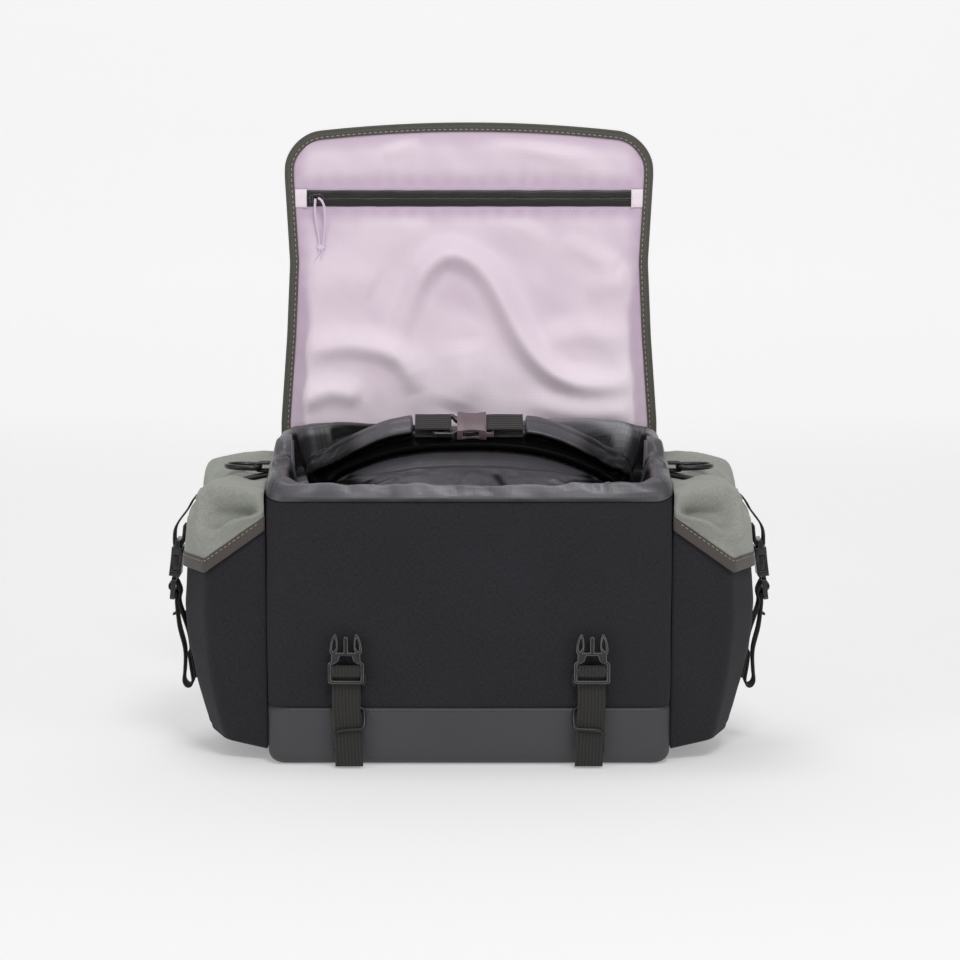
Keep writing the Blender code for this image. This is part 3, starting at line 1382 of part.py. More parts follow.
def lid_strap(side, x, stack, shapes):
    """A plain strap up the outside of the lid, turned over near its free edge to hold the female half."""
    lean = math.radians(LID_LEAN)
    up = Vector((0, math.sin(lean), math.cos(lean)))
    out = Vector((0, math.cos(lean), -math.sin(lean)))
    cover = stack + GAP + WEBBING / 2
    bar_z = LID_TOP - LID_BUCKLE_DROP
    depth = cover + WEBBING / 2 + 0.8 * MM + BUCKLE_BODY / 2
    bar = Vector((x, lid_plane(bar_z), bar_z)) + out * depth
    turned = Matrix((up.cross(out), up, out)).transposed().to_4x4()
    frame = Matrix.Translation(bar - up * BUCKLE_LENGTH) @ turned
    place(f"lid_buckle_{side}", shapes["female"], "plastic", frame)

    def on_cover(z):
        return Vector((x, lid_plane(z), z)) + out * cover

    fold = bar_z + 24 * MM
    rise = [on_cover(z) for z in (LID_HEM + 2 * MM, (LID_HEM + fold) / 2, fold)]
    top = on_cover(fold)
    turn = WEBBING + GAP
    over = [top + (up + out * 0.3) * turn, top + (up * 1.3 + out) * turn]
    over += [top + (up + out * 1.7) * turn, top + out * 2 * turn]
    loop = in_frame(frame, female_loop(8 * MM, 10 * MM))
    route = rise + over + loop
    strap = ribbon_mesh(f"lid_strap_{side}", route, ACROSS, WEBBING_WIDTH, WEBBING)
    place(f"lid_strap_{side}", strap, "webbing")


def back_plate():
    """The hidden fixing for the handlebar: one plain plate on the back panel."""
    half_x, half_y = PLATE_WIDTH / 2, PLATE_HEIGHT / 2
    corners = [(half_x, -half_y), (half_x, half_y), (-half_x, half_y), (-half_x, -half_y)]
    corners = [(x, y, PLATE_CORNER) for x, y in corners]
    edge = [tuple(p) for p in rounded_polygon(corners, 4, closed=True)]
    mesh = plate_mesh("mount_plate", [edge], PLATE_THICKNESS)
    turned = Matrix((-ACROSS, UP, DEEP)).transposed().to_4x4()
    at = Vector((0, BACK + GAP + PLATE_THICKNESS / 2, PLATE_LOW + half_y))
    place("mount_plate", mesh, "plastic", Matrix.Translation(at) @ turned)


def main():
    for old in list(bpy.data.objects):
        bpy.data.objects.remove(old)
    shapes = {"male": male_mesh(), "female": female_mesh()}
    main_bag()
    collar()
    roll_clip(shapes)
    for side, mirror in (("left", -1), ("right", 1)):
        front_strap(f"front_strap_{side}", mirror * FRONT_STRAP_X, shapes)
        pocket(side, mirror, shapes)
    lid(shapes)
    back_plate()


main()
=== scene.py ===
# A bicycle handlebar bag with its lid thrown open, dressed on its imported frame.
# Lengths are millimetres until a mesh is made, then metres. Front is -Y, as in the frame.
import math

import bpy
from mathutils import Matrix, Vector, noise


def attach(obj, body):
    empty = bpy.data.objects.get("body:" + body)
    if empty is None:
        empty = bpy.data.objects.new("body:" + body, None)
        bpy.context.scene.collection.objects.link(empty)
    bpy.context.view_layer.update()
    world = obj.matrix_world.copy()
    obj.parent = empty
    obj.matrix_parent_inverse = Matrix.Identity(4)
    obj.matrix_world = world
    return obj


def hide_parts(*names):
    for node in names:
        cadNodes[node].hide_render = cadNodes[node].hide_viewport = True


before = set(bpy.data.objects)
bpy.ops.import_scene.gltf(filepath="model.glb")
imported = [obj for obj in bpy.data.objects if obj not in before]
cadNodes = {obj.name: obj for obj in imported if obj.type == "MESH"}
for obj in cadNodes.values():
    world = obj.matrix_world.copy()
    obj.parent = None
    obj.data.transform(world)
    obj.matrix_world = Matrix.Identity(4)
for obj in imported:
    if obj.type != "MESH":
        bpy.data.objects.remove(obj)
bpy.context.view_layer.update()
print("frame loaded:", len(cadNodes), "nodes")

mm = 0.001
up, across, deep = Vector((0, 0, 1)), Vector((1, 0, 0)), Vector((0, 1, 0))
sides = (("left", -1), ("right", 1))


# Small helpers

def smoothStep(share):
    share = max(0.0, min(1.0, share))
    return share * share * (3 - 2 * share)


def lookUp(table, place):
    if place <= table[0][0]:
        return table[0][1:]
    for low, high in zip(table, table[1:]):
        if place <= high[0]:
            share = (place - low[0]) / (high[0] - low[0])
            return tuple(a + (b - a) * share for a, b in zip(low[1:], high[1:]))
    return table[-1][1:]


def curveThrough(spots, steps):
    # a smooth curve through the spots, with so many steps between each two
    ends = [spots[0] * 2 - spots[1], *spots, spots[-1] * 2 - spots[-2]]
    line = []
    for p0, p1, p2, p3 in zip(ends, ends[1:], ends[2:], ends[3:]):
        for step in range(steps):
            t = step / steps
            bend = (p2 - p0) * t + (p0 * 2 - p1 * 5 + p2 * 4 - p3) * t**2
            line.append(p1 + (bend + (p1 * 3 - p0 - p2 * 3 + p3) * t**3) / 2)
    return [*line, spots[-1].copy()]


def evenly(line, spacing):
    # the same line with its points an even distance apart
    lengths = [(b - a).length for a, b in zip(line, line[1:])]
    total = sum(lengths)
    count = max(2, round(total / spacing))
    even, walked, here = [line[0].copy()], 0.0, 0
    for i in range(1, count):
        wanted = total * i / count
        while here < len(lengths) - 1 and walked + lengths[here] < wanted:
            walked += lengths[here]
            here += 1
        even.append(line[here].lerp(line[here + 1], (wanted - walked) / max(lengths[here], 1e-9)))
    return [*even, line[-1].copy()]


def ripple(place, size, seed=0.0):
    # smooth unevenness from -1 to 1 with bumps of about this size
    return noise.noise(place / size + Vector((seed, seed * 1.7, seed * 0.6)))


def mirrored(rows, mirror):
    # rows worked out for the right-hand side, for either side and still facing out
    turned = [[Vector((mirror * p.x, p.y, p.z)) for p in row] for row in rows]
    return turned if mirror > 0 else [list(reversed(row)) for row in turned]


def onlyThis(piece):
    bpy.ops.object.select_all(action="DESELECT")
    piece.select_set(True)
    bpy.context.view_layer.objects.active = piece


def finishWith(piece, kind, **settings):
    # a modifier, put on and applied
    onlyThis(piece)
    modifier = piece.modifiers.new(kind.lower(), kind)
    for setting, value in settings.items():
        setattr(modifier, setting, value)
    bpy.ops.object.modifier_apply(modifier=modifier.name)


def dress(piece, slot, material, *replaced):
    piece.data.materials.clear()
    piece.data.materials.append(material)
    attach(piece, "root")
    if replaced:
        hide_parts(*replaced)
    return piece


def meshPiece(name, points, faces, faceMaps=None):
    mesh = bpy.data.meshes.new(name)
    mesh.from_pydata([p * mm for p in points], [], faces)
    if faceMaps:
        flat = [number for corners in faceMaps for spot in corners for number in spot]
        mesh.uv_layers.new(name="clothMap").data.foreach_set("uv", flat)
    mesh.shade_smooth()
    piece = bpy.data.objects.new(name, mesh)
    bpy.context.scene.collection.objects.link(piece)
    return piece


def sheetPiece(name, grid, wall, closed=False, capped=False, paintedShadingValues=None):
    # cloth from rows of points: its face is on the grid, its wall behind, its map in metres
    rows, columns = len(grid), len(grid[0])
    last = columns if closed else columns - 1
    acrossMap, upMap = [0.0], [0.0]
    for c in range(last):
        step = sum((line[(c + 1) % columns] - line[c]).length for line in grid) / rows
        acrossMap.append(acrossMap[-1] + step * mm)
    for low, high in zip(grid, grid[1:]):
        step = sum((b - a).length for a, b in zip(low, high)) / columns
        upMap.append(upMap[-1] + step * mm)
    faces, faceMaps = [], []
    for r in range(rows - 1):
        for c in range(last):
            right = (c + 1) % columns
            start, above = r * columns, (r + 1) * columns
            faces.append((start + c, start + right, above + right, above + c))
            left, here, low, high = acrossMap[c], acrossMap[c + 1], upMap[r], upMap[r + 1]
            faceMaps.append(((left, low), (here, low), (here, high), (left, high)))
    if capped:
        faces.append(tuple(reversed(range(columns))))
        faceMaps.append([(p.x * mm, p.y * mm) for p in reversed(grid[0])])
    piece = meshPiece(name, [p for line in grid for p in line], faces, faceMaps)
    # painted shading as a point attribute: above nought painted shade, below nought painted highlight
    if paintedShadingValues:
        piece.data.attributes.new("paintedShading", "FLOAT", "POINT").data.foreach_set("value", paintedShadingValues)
    if wall:
        finishWith(piece, "SOLIDIFY", thickness=wall * mm, offset=-1)
    return piece


def clothSize(grid, closed=False):
    # the flat width and length in metres of cloth with these rows, and its area in square metres
    rows = [[*line, line[0]] if closed else line for line in grid]
    wide = max(sum((b - a).length for a, b in zip(line, line[1:])) for line in rows)
    long = max(sum((b[c] - a[c]).length for a, b in zip(rows, rows[1:])) for c in range(len(rows[0])))
    area = 0.0
    for low, high in zip(rows, rows[1:]):
        for a, b, c, d in zip(low, low[1:], high[1:], high):
            area += ((b - a).cross(c - a).length + (c - a).cross(d - a).length) / 2
    return (wide * mm, long * mm), area * mm * mm


def sideways(path, axis):
    # the direction square to the path and to the axis at each point
    found = []
    for i in range(len(path)):
        run = path[min(i + 1, len(path) - 1)] - path[max(i - 1, 0)]
        found.append(run.cross(axis).normalized())
    return found


def tapePiece(name, path, axis, profile, outs=None):
    # a profile of (along the axis, out) carried along a path, closed at both ends
    outs = outs or sideways(path, axis)
    axes = axis if isinstance(axis, list) else [axis] * len(path)
    rings = [[p + wide * a + out * b for a, b in profile] for p, wide, out in zip(path, axes, outs)]
    count = len(profile)
    around = [0.0]
    for i in range(count):
        (a, b), (c, d) = profile[i], profile[(i + 1) % count]
        around.append(around[-1] + math.hypot(c - a, d - b) * mm)
    faces, faceMaps, walked = [], [], 0.0
    for r in range(len(rings) - 1):
        step = (path[r + 1] - path[r]).length * mm
        for c in range(count):
            right = (c + 1) % count
            start, above = r * count, (r + 1) * count
            faces.append((start + c, start + right, above + right, above + c))
            low, high = (around[c], walked), (around[c + 1], walked)
            faceMaps.append((low, high, (high[0], walked + step), (low[0], walked + step)))
        walked += step
    end = (len(rings) - 1) * count
    for cap in (tuple(reversed(range(count))), tuple(range(end, end + count))):
        faces.append(cap)
        faceMaps.append([(profile[i % count][0] * mm, profile[i % count][1] * mm) for i in cap])
    piece = meshPiece(name, [p for ring in rings for p in ring], faces, faceMaps)
    onlyThis(piece)
    bpy.ops.object.mode_set(mode="EDIT")
    bpy.ops.mesh.select_all(action="SELECT")
    bpy.ops.mesh.normals_make_consistent(inside=False)
    bpy.ops.object.mode_set(mode="OBJECT")
    return piece


stitch = {"length": 2.5, "gap": 1.5, "thick": 0.55, "lift": 0.1}


def stitchPiece(name, lines, thread, slot, look=stitch):
    # rows of small rounded stitches; each line is a list of (place, outward direction)
    points, faces = [], []
    around = [(math.cos(math.radians(a)), math.sin(math.radians(a))) for a in (0, 60, 120, 180, 240, 300)]
    rings = ((-0.5, 0.35), (-0.32, 1.0), (0.32, 1.0), (0.5, 0.35))
    for line in lines:
        path = evenly([spot for spot, _ in line], look["length"] + look["gap"])
        for a, b in zip(path, path[1:]):
            middle = (a + b) / 2
            nearest = min(line, key=lambda entry: (entry[0] - middle).length_squared)
            out = nearest[1].normalized()
            run = (b - a).normalized()
            wide = run.cross(out).normalized()
            first = len(points)
            for along, girth in rings:
                centre = middle + run * look["length"] * along + out * look["lift"]
                for x, y in around:
                    points.append(centre + (wide * x + out * y) * look["thick"] / 2 * girth)
            for r in range(3):
                for c in range(6):
                    right = (c + 1) % 6
                    low = first + r * 6
                    faces.append((low + c, low + right, low + 6 + right, low + 6 + c))
            faces.append(tuple(range(first + 5, first - 1, -1)))
            faces.append(tuple(range(first + 18, first + 24)))
    return dress(meshPiece(name, points, faces), slot, thread)


def easedCopy(name, node, material, slot, edge=0.3, smooth=0, swell=0.0):
    # a CAD piece again with its edges eased, or a bent wire made rounder and brought back to its thickness
    piece = bpy.data.objects.new(name, cadNodes[node].data.copy())
    bpy.context.scene.collection.objects.link(piece)
    piece.matrix_world = cadNodes[node].matrix_world.copy()
    onlyThis(piece)
    bpy.ops.object.transform_apply(location=True, rotation=True, scale=True)
    bpy.ops.object.mode_set(mode="EDIT")
    bpy.ops.mesh.select_all(action="SELECT")
    bpy.ops.mesh.remove_doubles(threshold=0.002 * mm)
    if smooth:
        bpy.ops.mesh.tris_convert_to_quads(face_threshold=math.radians(60), shape_threshold=math.radians(60))
    else:
        bpy.ops.mesh.dissolve_limited(angle_limit=math.radians(1.5))
    bpy.ops.object.mode_set(mode="OBJECT")
    if smooth:
        finishWith(piece, "SUBSURF", levels=smooth, render_levels=smooth)
        for vertex, out in zip(piece.data.vertices, [v.normal.copy() for v in piece.data.vertices]):
            vertex.co += out * swell * mm
        piece.data.shade_smooth()
    dress(piece, slot, material, node)
    if not smooth:
        # the bevel faces take the paler material, a painted edge highlight
        wearAndPaintedHighlight = paintedEdgeHighlights.get(material.name)
        if wearAndPaintedHighlight:
            piece.data.materials.append(wearAndPaintedHighlight)
        finishWith(piece, "BEVEL", width=edge * mm, segments=2, limit_method="ANGLE",
                   angle_limit=math.radians(28), material=1 if wearAndPaintedHighlight else -1)
        onlyThis(piece)
        bpy.ops.object.shade_smooth_by_angle(angle=math.radians(38))
    return piece


paintedEdgeHighlights = {}  # a moulding's material, and the paler copy of it that paints a highlight on its bevelled edges


# Materials

def linear(hexColour):
    # sRGB hex to the linear values that a shader takes
    parts = [int(hexColour[i:i + 2], 16) / 255 for i in (1, 3, 5)]
    return tuple(p / 12.92 if p <= 0.04045 else ((p + 0.055) / 1.055) ** 2.4 for p in parts) + (1.0,)


def addNode(material, kind, links, **settings):
    # one node with its settings; a link is a value or another node's socket
    tree = material.node_tree
    node = tree.nodes.new("ShaderNode" + kind)
    for setting, value in settings.items():
        setattr(node, setting, value)
    for socket, value in links.items():
        if isinstance(value, bpy.types.NodeSocket):
            tree.links.new(value, node.inputs[socket])
        else:
            node.inputs[socket].default_value = value
    return node


def newMaterial(name):
    material = bpy.data.materials.new(name)
    material.use_nodes = True
    shader = material.node_tree.nodes["Principled BSDF"]
    return material, shader, material.node_tree.links


def bandScale(period):
    # a wave texture's scale for bands this many millimetres apart
    return 0.314159 / (period * mm)


def bands(material, cloth, period, direction, distortion=0.0):
    links = {"Vector": cloth, "Scale": bandScale(period), "Distortion": distortion}
    return addNode(material, "TexWave", links, bands_direction=direction).outputs["Fac"]


def mathOf(material, operation, *values):
    return addNode(material, "Math", dict(enumerate(values)), operation=operation).outputs[0]


def noiseOf(material, cloth, scale, detail):
    return addNode(material, "TexNoise", {"Vector": cloth, "Scale": scale, "Detail": detail}).outputs["Fac"]


def rangeOf(material, value, **limits):
    names = {"fromMin": "From Min", "fromMax": "From Max", "toMin": "To Min", "toMax": "To Max"}
    links = {"Value": value, **{names[limit]: number for limit, number in limits.items()}}
    return addNode(material, "MapRange", links).outputs["Result"]


def shades(material, factor, dark, light):
    # one colour or another's socket, mixed by a factor
    links = {"Factor": factor, "A": dark if isinstance(dark, bpy.types.NodeSocket) else linear(dark),
             "B": linear(light)}
    return addNode(material, "Mix", links, data_type="RGBA").outputs["Result"]


def bumped(material, shader, height, strength, distance):
    bump = addNode(material, "Bump", {"Height": height, "Strength": strength, "Distance": distance * mm})
    material.node_tree.links.new(bump.outputs["Normal"], shader.inputs["Normal"])


def setShader(shader, **values):
    # constant values on the shader's sockets, named as they are there but in camel case
    names = {"roughness": "Roughness", "sheen": "Sheen Weight", "sheenRoughness": "Sheen Roughness",
             "sheenTint": "Sheen Tint", "ior": "IOR", "glow": "Emission Color", "colour": "Base Color"}
    for socket, value in values.items():
        shader.inputs[names[socket]].default_value = value


def wovenCanvas(name, look):
    # Woven polyester canvas: yarn-dyed threads of two shades give a soft heathered grain and no gloss.
    # The real threads are 0.4 mm apart; they are drawn coarser, so that they show at 0.7 mm a pixel.
    material, shader, links = newMaterial(name)
    cloth = addNode(material, "TexCoord", {}).outputs["UV"]
    threads = []
    for direction in ("X", "Y"):
        wave = bands(material, cloth, look["thread"], direction, 0.6)
        threads.append(mathOf(material, "SUBTRACT", wave, 0.5))
    weave = mathOf(material, "MULTIPLY", *threads)
    yarns = []
    for stretch in ((0.45, 1.6, 1.0), (1.6, 0.45, 1.0)):
        stretched = addNode(material, "Mapping", {"Vector": cloth, "Scale": stretch})
        yarns.append(noiseOf(material, stretched.outputs[0], 800.0, 3.0))
    shade = mathOf(material, "ADD", weave, mathOf(material, "ADD", *yarns))
    uneven = mathOf(material, "MULTIPLY_ADD", noiseOf(material, cloth, 14.0, 3.0), 0.35, shade)
    level = rangeOf(material, uneven, fromMin=0.8, fromMax=1.6)
    links.new(shades(material, level, look["dark"], look["light"]), shader.inputs["Base Color"])
    bumped(material, shader, shade, look["bump"], 0.25)
    setShader(shader, roughness=look["roughness"], sheen=look["sheen"], sheenRoughness=0.5,
              sheenTint=linear(look["fuzz"]))
    return material


def ripstopCloth(name, look):
    # Ripstop nylon: thin smooth cloth with a square grid of thicker threads, and a low silky gloss.
    material, shader, links = newMaterial(name)
    cloth = addNode(material, "TexCoord", {}).outputs["UV"]
    lines = []
    for direction in ("X", "Y"):
        wave = bands(material, cloth, look["grid"], direction)
        lines.append(mathOf(material, "POWER", wave, look["thin"]))
    grid = mathOf(material, "MAXIMUM", *lines)
    ground = shades(material, noiseOf(material, cloth, 38.0, 4.0), look["dark"], look["light"])
    shows = mathOf(material, "MULTIPLY", grid, look["gridShows"])
    colour = shades(material, shows, ground, look["gridColour"])
    # painted shade: deep between the folds, where the attribute is above nought, the colour is darkened and the
    # specular lowered; painted highlight: along their crests, where it is below nought, the colour is made
    # paler
    paintedShading = addNode(material, "Attribute", {}, attribute_name="paintedShading").outputs["Fac"]
    shadePainted = shades(material, paintedShading, colour, look["back"])
    specularUnderPaintedShade = mathOf(material, "MINIMUM", mathOf(material, "MULTIPLY_ADD", paintedShading, -0.48, 0.5), 0.5)
    links.new(specularUnderPaintedShade, shader.inputs["Specular IOR Level"])
    paintedHighlight = shades(material, mathOf(material, "MULTIPLY", paintedShading, -1.0), shadePainted, look["paintedHighlight"])
    links.new(paintedHighlight, shader.inputs["Base Color"])
    height = mathOf(material, "MULTIPLY_ADD", noiseOf(material, cloth, 900.0, 2.0), 0.35, grid)
    bumped(material, shader, height, look["bump"], 0.15)
    setShader(shader, roughness=look["roughness"], sheen=look["sheen"], sheenRoughness=0.35)
    return material


def coatedCanvas(name, look):
    # Canvas with a rubbery coating: dull and even, with a fine leathery grain 0.8 mm across.
    material, shader, links = newMaterial(name)
    cloth = addNode(material, "TexCoord", {}).outputs["UV"]
    grain = addNode(material, "TexVoronoi", {"Vector": cloth, "Scale": 1100.0})
    patches = noiseOf(material, cloth, 22.0, 3.0)
    links.new(shades(material, patches, look["dark"], look["light"]), shader.inputs["Base Color"])
    wearAndPaintedHighlight = rangeOf(material, patches, toMin=look["roughness"] - 0.06, toMax=look["roughness"] + 0.08)
    links.new(wearAndPaintedHighlight, shader.inputs["Roughness"])
    bumped(material, shader, grain.outputs["Distance"], 0.35, 0.12)
    return material


def ribbedTape(name, look):
    # Woven tape or webbing: ribs that run along it, crossed by a tight weft, in a dull yarn.
    material, shader, links = newMaterial(name)
    cloth = addNode(material, "TexCoord", {}).outputs["UV"]
    ribs = bands(material, cloth, look["rib"], look["ribAxis"], 0.3)
    weft = bands(material, cloth, look["weft"], "Y" if look["ribAxis"] == "X" else "X", 0.8)
    both = mathOf(material, "MULTIPLY_ADD", weft, 0.55, ribs)
    shade = mathOf(material, "MULTIPLY_ADD", noiseOf(material, cloth, 1400.0, 2.0), 0.5, both)
    level = rangeOf(material, shade, fromMin=0.3, fromMax=1.8)
    links.new(shades(material, level, look["dark"], look["light"]), shader.inputs["Base Color"])
    bumped(material, shader, shade, look["bump"], 0.3)
    setShader(shader, roughness=look["roughness"], sheen=0.15)
    return material


def mouldedPlastic(name, look):
    # Injection-moulded acetal: a fine spark-eroded grain; the soft highlight along each eased edge is painted
    # by a paler copy on the bevel faces.
    material, shader, links = newMaterial(name)
    place = addNode(material, "TexCoord", {}).outputs["Object"]
    handled = noiseOf(material, place, 90.0, 2.0)
    links.new(shades(material, handled, look["dark"], look["light"]), shader.inputs["Base Color"])
    polish = rangeOf(material, handled, toMin=look["roughness"] - 0.08, toMax=look["roughness"] + 0.1)
    links.new(polish, shader.inputs["Roughness"])
    bumped(material, shader, noiseOf(material, place, 1500.0, 3.0), 0.25, 0.05)
    setShader(shader, ior=1.48)
    return material


def twistedYarn(name, look):
    # Sewing thread or braided cord: a fine slanting twist and a soft lustre.
    material, shader, links = newMaterial(name)
    place = addNode(material, "TexCoord", {}).outputs["Object"]
    turned = addNode(material, "Mapping", {"Vector": place, "Rotation": (0.6, 0.5, 0.7)})
    twist = bands(material, turned.outputs[0], look["twist"], "X", 1.2)
    links.new(shades(material, twist, look["dark"], look["light"]), shader.inputs["Base Color"])
    bumped(material, shader, twist, 0.4, 0.1)
    setShader(shader, roughness=0.6, sheen=0.3)
    return material


bodyCanvas = wovenCanvas("charcoalCanvas", {
    "thread": 1.1, "dark": "#100f13", "light": "#29272e", "fuzz": "#6a6a74", "bump": 0.45, "roughness": 0.92,
    "sheen": 0.1})
flapCanvas = wovenCanvas("greyGreenCanvas", {
    "thread": 1.1, "dark": "#8a8c86", "light": "#a7a8a1", "fuzz": "#d8dcd2", "bump": 0.2, "roughness": 0.9,
    "sheen": 0.12})
# in both ripstops the back colour is painted shade for the folds' hollows, and the last colour a painted
# highlight for their crests
collarRipstop = ripstopCloth("darkRipstop", {
    "grid": 3.4, "thin": 9.0, "dark": "#434146", "light": "#504e53", "gridColour": "#656368", "gridShows": 0.14,
    "bump": 0.3, "roughness": 0.38, "sheen": 0.03, "back": "#040404", "paintedHighlight": "#858389"})
liningRipstop = ripstopCloth("lilacRipstop", {
    "grid": 2.4, "thin": 5.0, "dark": "#f5e4f0", "light": "#fdeff8", "gridColour": "#fff8fe", "gridShows": 0.3,
    "bump": 0.15, "roughness": 0.6, "sheen": 0.1, "back": "#c9b1c8", "paintedHighlight": "#ffffff"})
baseCoat = coatedCanvas("greyCoatedCanvas", {"dark": "#3c3a3d", "light": "#464447", "roughness": 0.55})
lidCoat = coatedCanvas("blackCoatedCanvas", {"dark": "#2c2b2e", "light": "#353438", "roughness": 0.62})
webbingYarn = ribbedTape("blackWebbing", {
    "rib": 2.5, "weft": 1.3, "ribAxis": "X", "dark": "#0e0d0d", "light": "#2d2b28", "bump": 0.8,
    "roughness": 0.75})
bindingTape = ribbedTape("brownBindingTape", {
    "rib": 1.2, "weft": 3.0, "ribAxis": "Y", "dark": "#453f3b", "light": "#524b48", "bump": 0.15,
    "roughness": 0.85})
lidTape = ribbedTape("oliveBindingTape", {
    "rib": 1.2, "weft": 3.0, "ribAxis": "Y", "dark": "#403e39", "light": "#605d55", "bump": 0.4,
    "roughness": 0.8})
zipCloth = ribbedTape("blackZipTape", {
    "rib": 1.4, "weft": 2.0, "ribAxis": "Y", "dark": "#0c0c0b", "light": "#1c1b1a", "bump": 0.3,
    "roughness": 0.36})
blackAcetal = mouldedPlastic("blackAcetal", {"dark": "#1b1a1a", "light": "#262525", "roughness": 0.3})
mauveAcetal = mouldedPlastic("mauveAcetal", {"dark": "#604f54", "light": "#75636a", "roughness": 0.36})
# paler copies of the acetals, put on the bevel faces as a painted edge highlight
blackEdgeHighlight = {"dark": "#4c4b4b", "light": "#727171", "roughness": 0.3}
mauveEdgeHighlight = {"dark": "#84737a", "light": "#a3929a", "roughness": 0.3}
paintedEdgeHighlights[blackAcetal.name] = mouldedPlastic("acetalPaintedHighlight", blackEdgeHighlight)
paintedEdgeHighlights[mauveAcetal.name] = mouldedPlastic("mauveAcetalPaintedHighlight", mauveEdgeHighlight)
coilNylon = mouldedPlastic("zipCoilNylon", {"dark": "#4a4845", "light": "#75726c", "roughness": 0.36})
beigeThread = twistedYarn("beigeThread", {"twist": 0.5, "dark": "#8f8a80", "light": "#b9b4a8"})
darkThread = twistedYarn("blackThread", {"twist": 0.5, "dark": "#1a1a1c", "light": "#333236"})
lilacCord = twistedYarn("lilacBraid", {"twist": 0.9, "dark": "#d2bdd6", "light": "#f3e4f5"})
print("materials made")


# The studio: the photograph's camera, a white floor that sweeps up behind, and soft light

studio = {"focalPixels": 2200 / 0.72, "frame": 960, "away": 2.2, "down": 12, "aimX": 469, "aimY": 765,
          "front": -0.085, "paper": "#dcdcdc", "glowNear": 0.268, "glowFar": 0.515,
          "air": 0.3}


def placeCamera():
    tilt = math.radians(studio["down"])
    lens = bpy.data.cameras.new("photoCamera")
    lens.lens = studio["focalPixels"] / studio["frame"] * lens.sensor_width
    lens.shift_x = (studio["frame"] / 2 - studio["aimX"]) / studio["frame"]
    lens.shift_y = (studio["aimY"] - studio["frame"] / 2) / studio["frame"]
    lens.clip_end = 50
    eye = bpy.data.objects.new("photoCamera", lens)
    away = studio["away"]
    eye.location = (0, studio["front"] - away * math.cos(tilt), away * math.sin(tilt))
    eye.rotation_euler = (math.radians(90) - tilt, 0, 0)
    bpy.context.scene.collection.objects.link(eye)
    bpy.context.scene.camera = eye


def paperSweep():
    rows = []
    radius, back, wide = 1200, 2600, 7000
    profile = [(-6000, 0), (back, 0)]
    profile += [(back + radius * math.sin(math.radians(a)), radius - radius * math.cos(math.radians(a)))
                for a in range(10, 91, 10)]
    profile.append((back + radius, 6000))
    for y, z in profile:
        rows.append([Vector((x, y, z - 0.4)) for x in (-wide, 0, wide)])
    sweep = sheetPiece("paperSweep", rows, 0)
    material, shader, links = newMaterial("studioPaper")
    setShader(shader, colour=linear(studio["paper"]), roughness=0.9, glow=(1, 1, 1, 1))
    # the glow evens out the white ground, and grows towards the background, which the lamps don't reach
    place = addNode(material, "TexCoord", {}).outputs["Object"]
    parts = addNode(material, "SeparateXYZ", {"Vector": place})
    away = mathOf(material, "ADD", parts.outputs["Y"], parts.outputs["Z"])
    glow = rangeOf(material, away, fromMin=0.1, fromMax=3.4,
                   toMin=studio["glowNear"], toMax=studio["glowFar"])
    links.new(glow, shader.inputs["Emission Strength"])
    sweep.data.materials.append(material)


def softLight(name, place, aim, size, power):
    lamp = bpy.data.lights.new(name, "AREA")
    lamp.shape, lamp.size, lamp.energy = "SQUARE", size, power
    holder = bpy.data.objects.new(name, lamp)
    holder.location = place
    holder.rotation_euler = (Vector(aim) - Vector(place)).to_track_quat("-Z", "Y").to_euler()
    bpy.context.scene.collection.objects.link(holder)


placeCamera()
paperSweep()
# name, place and aim in metres, size in metres, power in watts
for lamp in (("keyLight", (0.4, -1.7, 2.3), (0, 0, 0.25), 0.8, 24),
             ("leftBox", (-1.7, -1.7, 0.9), (0, 0, 0.25), 1.0, 7),
             ("rightBox", (1.7, -1.7, 0.9), (0, 0, 0.25), 1.0, 6),
             ("topLight", (-0.3, 0.25, 2.2), (0, 0, 0.1), 0.8, 9)):
    softLight(*lamp)
world = bpy.data.worlds.new("studioAir")
world.use_nodes = True
air = world.node_tree.nodes["Background"].inputs
air["Color"].default_value = (1, 1, 1, 1)
air["Strength"].default_value = studio["air"]
bpy.context.scene.world = world
bpy.context.scene.view_settings.view_transform = "Standard"
print("studio set")


# The pull cord: two strands through the slider's eye, held by a knot, each cut off below it

pull = {"thick": 1.8, "eye": (-114.5, 95.17, 396.5)}
# across, forward of the zip and up, the same as in the part
pullLeft = ((-0.6, 4.4, -0.2), (-0.8, 5.0, -3), (-1.0, 4.8, -8), (-0.4, 4.0, -15), (0.6, 3.2, -22),
            (1.6, 2.6, -29), (2.0, 2.4, -33.6), (2.4, 2.4, -36.6), (2.0, 2.6, -39.6), (0.6, 2.8, -42.5),
            (-1.2, 2.8, -45.5), (-2.4, 2.6, -49))
pullRight = ((1.6, 4.4, 0.4), (4.2, 5.4, -1.6), (6.0, 5.2, -6), (6.4, 4.4, -12), (6.2, 3.6, -19),
             (5.6, 2.9, -26), (4.6, 2.5, -33.6), (4.2, 2.5, -36.6), (4.4, 2.6, -39.6), (3.6, 3.0, -43),
             (2.4, 3.0, -47), (2.2, 2.8, -51))


